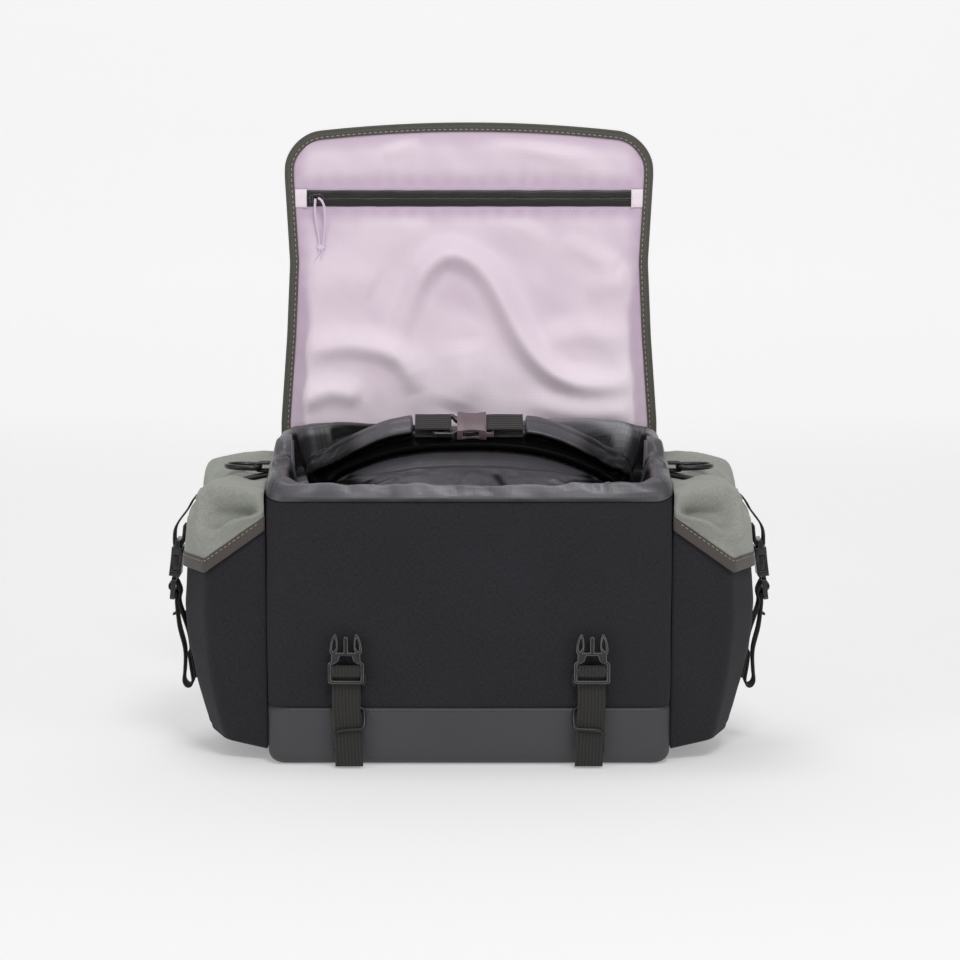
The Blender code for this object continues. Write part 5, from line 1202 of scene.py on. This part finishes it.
# the rolled cloth in section: across and up as shares of its half width and half thickness
rollTop = ((0.6, 0.95), (0.42, 1.0), (0.24, 1.0), (0.2, 0.86), (0.0, 0.9), (-0.25, 0.94), (-0.5, 0.95))
rollBottom = ((-0.5, 0.95), (-0.25, 0.98), (0.0, 0.96), (0.25, 0.98), (0.5, 0.95))


def rollPiece():
    tilt = math.radians(collar["tilt"])
    lean = Vector((0, math.cos(tilt), math.sin(tilt)))
    path = evenly(curveThrough(rollPath(), 8), 2.0)
    outs = sideways(path, lean)
    half, thick = collar["rollWide"] / 2, collar["rollThick"] / 2
    # rolled cloth in section: round edges, and the last turn's edge as a step along one face
    turns = [math.radians(a) for a in range(-75, 76, 25)]
    section = [(half - 3 + 3 * math.cos(a), thick * 0.86 * math.sin(a)) for a in turns]
    section += [(half * s, thick * h) for s, h in rollTop]
    section += [(-half + 3 - 3 * math.cos(a), thick * 0.86 * math.sin(a)) for a in reversed(turns)]
    section += [(half * s, -thick * h) for s, h in rollBottom]
    piece = tapePiece("clippedRoll", path, lean, section, outs)
    for vertex in piece.data.vertices:
        spot = vertex.co / mm
        soft = 0.7 * ripple(Vector((spot.x, spot.y * 2, spot.z)), 13, 3.0) + 0.35 * ripple(spot, 6, 8.0)
        # crushed where it is folded over, with sharp creases
        crushed = 0.5 - 2.2 * abs(ripple(Vector((spot.x * 1.6, spot.y, spot.z * 1.6)), 15, 5.0))
        ends = smoothStep((abs(spot.x) - 84) / 18)
        vertex.co += vertex.normal * mm * (0.6 * soft + ends * (0.4 * soft + 1.5 * crushed))
    finishWith(piece, "SUBSURF", levels=1, render_levels=1)
    # painted shade on the roll: its downward faces, the low run under the arms and the folded ends are darkened
    paintedShadingValues = []
    for vertex in piece.data.vertices:
        x, z = vertex.co.x / mm, vertex.co.z / mm
        lowRunShade = smoothStep((rollHeight(x) + collar["rollThick"] - z) / 4)
        under = smoothStep((0.42 - vertex.normal.z) / 0.62)
        paintedShadingValues.append(max(under, 0.97 * lowRunShade, 0.8 * smoothStep((abs(x) - 74) / 16)))
    piece.data.attributes.new("paintedShading", "FLOAT", "POINT").data.foreach_set("value", paintedShadingValues)
    dress(piece, "ripstop", collarRipstop, "rolled_mouth")


bagWalls()
baseTub()
panelSeams()
collarPiece()
rollPiece()
print("main bag and collar made")


# Webbing and clip buckles. A buckle's frame: X across the webbing, Y along it, Z through its plate.

clip = {"width": 20, "thick": 1.4, "gap": 0.3, "plate": 3.4, "long": 44, "frameBar": 2.2, "barLow": 8.6,
        "barHigh": 10.6, "femaleBar": 2.3, "femaleSlot": 2.8, "wavy": 0.12}
near = clip["plate"] / 2 + 0.45 + clip["thick"] / 2  # webbing against the plate
far = near + clip["thick"] + 1.1  # webbing behind other webbing


def roundTheBar():
    over = clip["barHigh"] + clip["gap"] + clip["thick"]
    return [(-0.74 * near, over - 0.4), (0, over + 0.2), (0.74 * near, over - 0.4)]


def inSlot(share):
    return clip["frameBar"] + (clip["barLow"] - clip["frameBar"]) * share


def throughMale():
    # webbing up behind the half with the prongs, over its bar and out again behind its lowest bar
    return [(-far, -4), (-far, clip["frameBar"] + 1.8), (0.8 - far, clip["barLow"] - 1.1),
            (-near - 0.2, clip["barHigh"] - 0.6), *roundTheBar(), (near + 0.3, clip["barHigh"] - 0.8),
            (0.91 * near, inSlot(0.84)), (0.07 * near, inSlot(0.58)), (-0.77 * near, inSlot(0.34)),
            (-near, inSlot(0.0)), (-near, -2)]


def sewnMale(tail):
    beside, high = near + 0.3, clip["barHigh"] - 0.8
    return [(-beside, -tail), (-beside, high), *roundTheBar(), (beside, high), (beside, -tail)]


def sewnFemale(inside, outside):
    bar = clip["long"] - clip["femaleBar"]
    beside, middle = near + 0.3, bar - clip["femaleSlot"] / 2
    return [(-beside, clip["long"] + inside), (-beside, bar - 0.3), (-0.77 * near, middle),
            (0.77 * near, middle), (beside, bar - 0.3), (beside, clip["long"] + outside)]


def placed(at, wide, along, out):
    return Matrix.Translation(at) @ Matrix((wide, along, out)).transposed().to_4x4()


def inFrame(place, pairs):
    return [place @ Vector((0, along, through)) for through, along in pairs]


def webbingProfile(width=clip["width"], ribs=8, edge=0.7):
    # ribs on each face and soft rolled edges
    half, thick = width / 2, clip["thick"] / 2
    face = []
    for i in range(ribs * 4 + 1):
        a = -half + edge + (2 * half - 2 * edge) * i / (ribs * 4)
        face.append((a, thick * (0.86 + 0.14 * math.cos(2 * math.pi * i / 4))))
    return [(-half, 0.0)] + face + [(half, 0.0)] + [(a, -b) for a, b in reversed(face)]


def webbing(name, route, axis, replaced):
    piece = tapePiece(name, evenly(curveThrough(route, 6), 1.4), axis, webbingProfile())
    for vertex in piece.data.vertices:
        spot = vertex.co / mm
        vertex.co += vertex.normal * clip["wavy"] * mm * ripple(spot, 12, 2.0)
    dress(piece, "webbing", webbingYarn, replaced)


def boxStitch(name, centre, wide, along, out, size):
    # a sewn box with a cross in it
    w, h = size[0] / 2, size[1] / 2
    corners = [(-w, -h), (w, -h), (w, h), (-w, h), (-w, -h), (w, h)]
    line = []
    for (a, b), (c, d) in zip(corners, corners[1:]):
        for i in range(6):
            line.append((centre + wide * (a + (c - a) * i / 6) + along * (b + (d - b) * i / 6), out))
    fine = {"length": 1.7, "gap": 0.7, "thick": 0.4, "lift": 0.05}
    stitchPiece(name, [line], darkThread, "webbing", fine)


frontStrap = {"x": 87.7, "buckleLow": 61, "keeperLow": 28, "keeperRise": 15, "wire": 1.3, "lean": 2}


def frontStraps():
    for word, mirror in sides:
        x = mirror * frontStrap["x"]
        inner = -mirror
        backLow = frontFace(x, bag["band"]) - 1.0
        backLine = frontFace(x, frontStrap["buckleLow"]) - 1.6
        plate = backLine - far
        place = placed(Vector((x, plate, frontStrap["buckleLow"])), across, up, -deep)
        kept = backLow - frontStrap["wire"] * 2 - 0.5
        keeperTop = frontStrap["keeperLow"] + frontStrap["keeperRise"]
        behind = [Vector((x, frontFace(x, 18) - 1.3, 10)), Vector((x, kept, frontStrap["keeperLow"] - 2)),
                  Vector((x, kept, keeperTop + 3))]
        tailY = kept - clip["thick"] - 1.4
        tail = [Vector((x, tailY, keeperTop)),
                Vector((x + inner * frontStrap["lean"] / 2, tailY - 0.6, frontStrap["keeperLow"] - 6)),
                Vector((x + inner * frontStrap["lean"], tailY - 2.5, 1.2))]
        route = behind + inFrame(place, throughMale()) + tail
        webbing(f"frontStrap_{word}", route, across, f"front_strap_{word}")
        for name, look in (("Buckle", {"edge": 0.55}), ("Keeper", {"smooth": 1, "swell": 0.25}),
                           ("Clip", {"smooth": 1, "swell": 0.2})):
            node = f"front_strap_{word}_{name.lower()}"
            easedCopy(f"front{name}_{word}", node, blackAcetal, "plastic", **look)


def rollClip():
    tilt = math.radians(collar["tilt"])
    wide = Vector((0, -math.cos(tilt), -math.sin(tilt)))
    out = wide.cross(across)
    start = Vector((-clip["long"] / 2 - 4, collar["rollBack"], bag["seam"] + collar["armLift"]))
    place = placed(start, wide, across, out)
    easedCopy("rollBuckleMale", "roll_buckle_male", blackAcetal, "plastic", edge=0.4)
    easedCopy("rollBuckleFemale", "roll_buckle_female", mauveAcetal, "roll_plastic", edge=0.5)
    leftEnd = collar["armEnd"] + start.x - 1.5
    rightEnd = collar["armEnd"] - (start.x + clip["long"]) - 1.5
    webbing("rollWebbing_left", inFrame(place, sewnMale(leftEnd)), wide, "roll_webbing_left")
    webbing("rollWebbing_right", inFrame(place, sewnFemale(rightEnd, rightEnd)), wide, "roll_webbing_right")


lidStrap = {"below": 74, "fold": 24, "inside": 8, "outside": 10, "body": 8, "stitchUp": 12}


def lidStraps():
    # up the outside of the lid, turned over near its free edge to hold the female half
    lean = math.radians(lid["lean"])
    rise = Vector((0, math.sin(lean), math.cos(lean)))
    out = Vector((0, math.cos(lean), -math.sin(lean)))
    cover = lid["liningWall"] + lid["gap"] * 2 + lid["coverWall"] + 0.1 + clip["thick"] / 2
    barZ = lid["top"] - lidStrap["below"]
    fold = barZ + lidStrap["fold"]
    for word, mirror in sides:
        x = mirror * lid["strap"]
        depth = cover + clip["thick"] / 2 + 0.8 + lidStrap["body"] / 2
        bar = Vector((x, lidPlane(barZ), barZ)) + out * depth
        place = placed(bar - rise * clip["long"], rise.cross(out), rise, out)

        def onCover(z, x=x):
            return Vector((x, lidPlane(z), z)) + out * cover

        climb = [onCover(z) for z in (lid["hem"] + 2, (lid["hem"] + fold) / 2, fold)]
        turn = clip["thick"] + clip["gap"]
        over = [climb[-1] + (rise * a + out * b) * turn for a, b in ((1, 0.3), (1.3, 1), (1, 1.7), (0, 2))]
        loop = inFrame(place, sewnFemale(lidStrap["inside"], lidStrap["outside"]))
        webbing(f"lidStrap_{word}", climb + over + loop, across, f"lid_strap_{word}")
        easedCopy(f"lidBuckle_{word}", f"lid_buckle_{word}", blackAcetal, "plastic", edge=0.5)
        low = onCover(lid["hem"] + lidStrap["stitchUp"] + 40) + out * (clip["thick"] / 2)
        boxStitch(f"lidStrapStitches_{word}", low, across, rise, out, (clip["width"] - 5, 14))


def mountPlate():
    easedCopy("mountPlate", "mount_plate", blackAcetal, "plastic", edge=1.2)


# The side pockets. Everything is worked out for the right-hand pocket, then mirrored.

pocket = {"reach": 62.5, "long": 148, "base": 8, "rise": 10, "mouth": 170, "wall": 2, "top": 186,
          "foldGain": 2.4,
          "flapWall": 1.5, "flapRoom": 0.8, "flapLow": 137, "flapHigh": 169, "binding": 10, "step": 0.5,
          "shoulder": 184.5, "corner": 190, "rearLift": 15, "drop": 3, "strapDrop": 5, "strapRoom": 13}
# up the pocket from its base, reach and length as shares of the pocket's
pocketSections = ((0.0, 0.70, 0.93), (0.05, 0.75, 0.955), (0.23, 0.895, 0.985), (0.40, 0.97, 1.0),
                  (0.54, 1.0, 1.0), (0.74, 0.965, 1.0), (0.86, 0.94, 1.0), (1.0, 0.92, 0.985))
# reach and half length as shares, rounding as a share of the reach
pocketPlan = ((0.0, -1.0, 0.0), (0.70, -0.87, 0.17), (1.0, -0.38, 0.30), (1.0, 0.38, 0.30),
              (0.70, 0.87, 0.17), (0.0, 1.0, 0.0))
# up the flap from its binding, and how far it is drawn in
flapRows = ((0.0, 1.0), (0.4, 1.0), (0.72, 0.98), (0.9, 0.91), (1.0, 0.82))
# the binding folded round the flap's edge: up from the edge, and out
flapTape = ((-0.2, -1.2), (-0.4, -0.5), (0.0, 0.0), (1.2, 0.15), (5, 0.2), (8.8, 0.15), (9.8, 0.0),
            (10.0, -0.5))


def pocketShares(z):
    place = (z - pocket["base"]) / (pocket["top"] - pocket["base"])
    spread = 0.06
    pairs = [lookUp(pocketSections, place + d) for d in (-spread, 0.0, spread)]
    return tuple((a + 2 * b + c) / 4 for a, b, c in zip(*pairs))


def roundedLine(corners, arcSteps):
    points = []
    for i, (x, y, radius) in enumerate(corners):
        spot = Vector((x, y))
        if radius <= 0 or i in (0, len(corners) - 1):
            points.append(spot)
            continue
        into = (Vector(corners[i - 1][:2]) - spot).normalized()
        out = (Vector(corners[i + 1][:2]) - spot).normalized()
        halfAngle = into.angle(out) / 2
        centre = spot + (into + out).normalized() * (radius / math.sin(halfAngle))
        first = spot + into * (radius / math.tan(halfAngle)) - centre
        sweep = first.angle_signed(spot + out * (radius / math.tan(halfAngle)) - centre)
        points += [centre + Matrix.Rotation(-sweep * k / arcSteps, 2) @ first for k in range(arcSteps + 1)]
    return points


def pocketLine(reach, halfLong, offset, count):
    # the pocket's outline in plan from the front end round to the back end
    plain = [Vector((out * reach, along * halfLong)) for out, along, _ in pocketPlan]
    walls = [(b - a).normalized() for a, b in zip(plain, plain[1:])]
    corners = []
    for i, spot in enumerate(plain):
        faces = [Vector((wall.y, -wall.x)) for wall in walls[max(i - 1, 0):i + 1]]
        if len(faces) == 1:
            moved = spot + Vector((0, offset / faces[0].y))
        else:
            middle = (faces[0] + faces[1]).normalized()
            moved = spot + middle * (offset / middle.dot(faces[0]))
        rounding = pocketPlan[i][2] * pocket["reach"] * 1.25
        corners.append((*moved, rounding + offset if rounding else 0.0))
    line = roundedLine(corners, 8)
    total = sum((b - a).length for a, b in zip(line, line[1:]))
    return evenly(line, total / count)[:count + 1]


pocketColumns = 96


def pocketRing(z, offset, bottom=False):
    reach, long = pocketShares(z)
    line = pocketLine(pocket["reach"] * reach, pocket["long"] / 2 * long, offset, pocketColumns)
    closing = [line[-1].lerp(line[0], i / 40) for i in range(1, 40)]
    ring = []
    for spot in line + closing:
        rise = pocket["rise"] * spot.x / pocket["reach"] if bottom else 0.0
        ring.append(Vector((side + max(0.35, 0.3 + spot.x), spot.y, z + rise)))
    return ring


def pocketPiece(word, mirror):
    base, mouth = pocket["base"], pocket["mouth"]
    foot = pocketRing(base, 0, bottom=True)
    middle = Vector((side + 24, 0, base + 4))
    rings = []
    for shrink in (0.05, 0.35, 0.65, 0.88):
        rings.append([middle.lerp(p, shrink * 0.93) for p in foot])
    for i in range(5):
        angle = math.radians(22.5 * i)
        inward = 0.93 + 0.07 * math.sin(angle)
        rings.append([Vector((middle.x + (p.x - middle.x) * inward, middle.y + (p.y - middle.y) * inward,
                              p.z + 3.5 * (1 - math.cos(angle)))) for p in foot])
    steps, seed = 52, 11.0 if mirror > 0 else 23.0
    for r in range(1, steps + 1):
        share = r / steps
        ring = pocketRing(base + 3.5 + (mouth - base - 3.5) * share, 0)
        line = []
        for p, low in zip(ring, foot):
            z = low.z + 3.5 + (mouth - low.z - 3.5) * share
            outward = Vector((p.x - side - 24, p.y, 0)).normalized() if p.x > side + 1 else Vector((0, 0, 0))
            spot = Vector((p.x, p.y, z))
            flatWrinkle = ripple(Vector((spot.x * 0.35, spot.y * 0.35, z)), 13, seed)
            broad = ripple(spot, 48, seed + 3)
            sag = smoothStep((0.62 - abs(share - 0.42)) / 0.5)
            fade = smoothStep((p.x - side) / 12)
            line.append(spot + outward * fade * (1.5 * broad * sag + 0.75 * flatWrinkle * sag))
        rings.append(line)
    piece = sheetPiece(f"pocket_{word}", mirrored(rings, mirror), pocket["wall"], closed=True, capped=True)
    dress(piece, "weave", bodyCanvas, f"pocket_{word}")


def offStrap(along):
    return smoothStep((abs(along) - 0.30) / 0.45)


def flapEdge(share):
    return pocket["flapHigh"] + (pocket["flapLow"] - pocket["flapHigh"]) * min(1.0, share)


def flapColumns():
    line = pocketLine(pocket["reach"], pocket["long"] / 2, 0, pocketColumns)
    turn = pocketPlan[1][0] * pocket["reach"]
    middle = len(line) // 2
    return [(min(1.0, spot.x / turn), spot.y / (pocket["long"] / 2), i <= middle)
            for i, spot in enumerate(line)]


def flapRow(heightAt, offset, pulledIn=1.0):
    points = []
    for i, column in enumerate(flapColumns()):
        z = heightAt(*column)
        reach, long = pocketShares(z)
        reach *= pulledIn + (1 - pulledIn) * 0.9 * offStrap(column[1])
        line = flapLineAt(round(reach, 3), round(long, 3), offset)
        points.append(Vector((side + 0.6 + max(line[i].x, 0.0), line[i].y, z)))
    return points


lineStore = {}


def flapLineAt(reach, long, offset):
    key = (reach, long, offset)
    if key not in lineStore:
        lineStore[key] = pocketLine(pocket["reach"] * reach, pocket["long"] / 2 * long, offset, pocketColumns)
    return lineStore[key]


def seamHeight(y, along):
    return rimHeight(y) - pocket["drop"] - pocket["strapDrop"] * (1 - offStrap(along))


def shoulderHeight(share, along, inFront):
    corner = pocket["corner"] + (0.0 if inFront else pocket["rearLift"])
    outer = pocket["shoulder"] + (corner - pocket["shoulder"]) * offStrap(along)
    root = rimHeight(along * pocket["long"] / 2) - 2 * pocket["drop"]
    return root + (outer - root) * min(1.0, share * 1.2)


# folds of a flap seen from the front or back: places (out from the main bag, up), half width and height
flapFolds = foldLines((
    (((-2, 187), (20, 191), (44, 194)), 5, 4.5),
    (((4, 182), (20, 181), (38, 178)), 5, -5.0),
    (((0, 180), (22, 171), (46, 158)), 6, 5.0),
    (((4, 172), (20, 163), (34, 156)), 5, -3.2),
    (((44, 194), (44, 174), (46, 152)), 4, 4.0),
    (((52, 186), (56, 168), (54, 150)), 4, -3.0),
    (((30, 186), (33, 172), (30, 158)), 5, -2.0),
))


def flapGrid(mirror):
    # from above its binding, up over the shoulder and across to the main bag
    offset = pocket["flapRoom"] + pocket["flapWall"]

    rows = []
    for share, pulledIn in flapRows:
        def height(down, along, inFront, share=share):
            low = flapEdge(down) + pocket["binding"] - 1.2
            return low + (shoulderHeight(down, along, inFront) - low) * share

        rows.append(flapRow(height, offset, pulledIn))
    edge = rows[-1]
    flat = pocket["strapRoom"] / (pocket["long"] / 2)
    for share in (0.35, 0.7, 1.0):
        line = []
        for spot, (down, along, inFront) in zip(edge, flapColumns()):
            y = math.copysign(max(0.0, abs(along) - flat), along) * pocket["long"] / 2
            root = Vector((side + 0.6, spot.y * 0.92, seamHeight(y, along)))
            here = spot.lerp(root, share)
            here.z += math.sin(math.pi * share) * (1.5 + 3 * offStrap(along))
            line.append(here)
        rows.append(line)
    columns = [curveThrough([row[i] for row in rows], 6) for i in range(len(rows[0]))]
    grid = [[column[r] for column in columns] for r in range(len(columns[0]))]
    seed = 5.0 if mirror > 0 else 17.0
    count = len(grid)
    for r, line in enumerate(grid):
        share = r / (count - 1)
        held = smoothStep(share / 0.12) * smoothStep((1 - share) / 0.1)
        for i, p in enumerate(line):
            calm = smoothStep((abs(p.y) - 8) / 14)
            along = i / (len(line) - 1)
            # creases that run in from the corners by the main bag, and softer ones down the outside
            fan = math.sin(22 * along + 9 * share + 3 * ripple(Vector((along * 60, share * 40, 0)), 14, seed))
            corner = math.exp(-((min(along, 1 - along) - 0.14) / 0.13) ** 2)
            bulge = 0.5 * fan * corner + 1.3 * ripple(p, 26, seed) + 0.4 * ripple(p, 11, seed)
            bulge = (bulge + pocket["foldGain"] * foldSum(p.x - side, p.z, flapFolds)) * held * calm
            bulge = max(bulge, -0.5 - 0.5 * max(0.0, p.z - pocket["mouth"] - 2))  # not into the pocket
            outward = Vector((max(0.0, p.x - side - 20) * 0.04, p.y / 60, 0.5 + share)).normalized()
            line[i] = p + outward * bulge
    return grid


def flapPiece(word, mirror):
    grid = flapGrid(mirror)
    turned = mirrored(grid, mirror)
    piece = sheetPiece(f"pocketFlap_{word}", turned, pocket["flapWall"])
    dress(piece, "canvas", flapCanvas, f"flap_{word}")
    proud = pocket["flapRoom"] + pocket["flapWall"] + pocket["step"]
    rows = []
    for raised, out in flapTape:
        rows.append(flapRow(lambda down, *_, raised=raised: flapEdge(down) + raised, proud + out))
    for line in rows:
        for i, p in enumerate(line):
            wave = 0.35 * ripple(Vector((i * 1.3, 0, mirror * 40)), 7, 3.0)
            line[i] = p + Vector((0, math.copysign(wave * 0.6, p.y), wave))
    tape = sheetPiece(f"flapBinding_{word}", mirrored(rows, mirror), 1.2)
    dress(tape, "binding", bindingTape, f"flap_binding_{word}")
    seam = []
    for p in rows[5][2:-2]:
        spot = Vector((mirror * p.x, p.y, p.z - 1.0))
        out = Vector((mirror * max(0.0, p.x - side - 20) * 0.03, p.y / 40, 0)).normalized()
        seam.append((spot + out * 0.1, out))
    fine = {"length": 2.3, "gap": 1.7, "thick": 0.5, "lift": 0.1}
    stitchPiece(f"flapStitches_{word}", [seam], beigeThread, "binding", fine)
    return grid


sideBuckle = {"low": 109, "out": 11.2, "tilt": 7, "anchor": 50, "tailLow": 43}
# the loose end: out from the wall as a share of the buckle's stand-off, up as a share of the way to it
sideTail = ((1.205, 0.697), (0.848, 0.424), (0.875, 0.197), (0.946, 0.076), (0.821, 0.018), (0.607, 0.0),
            (0.411, 0.021), (0.348, 0.091), (0.464, 0.227), (0.589, 0.394))


def sideStraps(word, mirror, grid):
    tilt = math.radians(sideBuckle["tilt"])
    along = Vector((-mirror * math.sin(tilt), 0, math.cos(tilt)))
    out = Vector((mirror * math.cos(tilt), 0, math.sin(tilt)))
    at = Vector((mirror * (side + pocket["reach"] + sideBuckle["out"]), 0, sideBuckle["low"]))
    place = placed(at, along.cross(out), along, out)
    middle = len(grid[0]) // 2
    coarse = [grid[r][middle] for r in range(len(grid) - 1, 11, -5)]
    over = [Vector((p.x, 0, p.z)) for p in coarse]
    over[0].x = side + 0.6
    raised = [p + o * 1.9 for p, o in zip(over, sideways(over, deep))]
    raised = [Vector((mirror * p.x, 0, p.z)) for p in raised]
    loop = list(reversed(inFrame(place, sewnFemale(11, 9))))
    webbing(f"flapStrap_{word}", raised + loop, deep, f"flap_strap_{word}")

    def wallX(z):
        return side + 0.3 + pocket["reach"] * pocketShares(z)[0]

    rise = sideBuckle["low"] - sideBuckle["anchor"]
    anchored = [Vector((mirror * (wallX(z) + 1.4), 0, z))
                for z in (sideBuckle["anchor"] + rise * share for share in (0.0, 0.27, 0.58))]
    lowX, climb = wallX(sideBuckle["anchor"]), sideBuckle["low"] - sideBuckle["tailLow"]
    tail = [Vector((mirror * (lowX + away * sideBuckle["out"]), 0, sideBuckle["tailLow"] + lift * climb))
            for away, lift in sideTail]
    webbing(f"sideStrap_{word}", anchored + inFrame(place, throughMale()) + tail, deep, f"side_strap_{word}")
    for name, node, look in (("sideBuckleMale", "side_buckle_male", {"edge": 0.45}),
                             ("sideBuckleFemale", "side_buckle_female", {"edge": 0.5}),
                             ("sideKeeper", "side_keeper", {"smooth": 1, "swell": 0.2}),
                             ("dRing", "d_ring", {"smooth": 1, "swell": 0.45})):
        easedCopy(f"{name}_{word}", f"{node}_{word}", blackAcetal, "plastic", **look)


ring = {"tabReach": 8.5, "wire": 1.75, "back": 3, "width": 15.6}


def ringTab(word, mirror):
    barX, barZ = side + ring["tabReach"], rimHeight(0) - 1.6
    wrap = ring["wire"] + clip["gap"] + clip["thick"] / 2
    root = side + 1.2
    line = [(root, barZ + wrap), (root + 4, barZ + wrap)]
    for degrees in range(90, -91, -30):
        angle = math.radians(degrees)
        line.append((barX + wrap * math.cos(angle), barZ + wrap * math.sin(angle)))
    line += [(root + 4, barZ - wrap), (root, barZ - wrap)]
    path = evenly(curveThrough([Vector((mirror * x, ring["back"], z)) for x, z in line], 6), 1.2)
    piece = tapePiece(f"ringTab_{word}", path, deep, webbingProfile(ring["width"], 6, 0.6))
    dress(piece, "webbing", webbingYarn, f"ring_tab_{word}")


frontStraps()
rollClip()
lidStraps()
mountPlate()
for word, mirror in sides:
    pocketPiece(word, mirror)
    flap = flapPiece(word, mirror)
    sideStraps(word, mirror, flap)
    ringTab(word, mirror)
print("pockets, straps and buckles made")
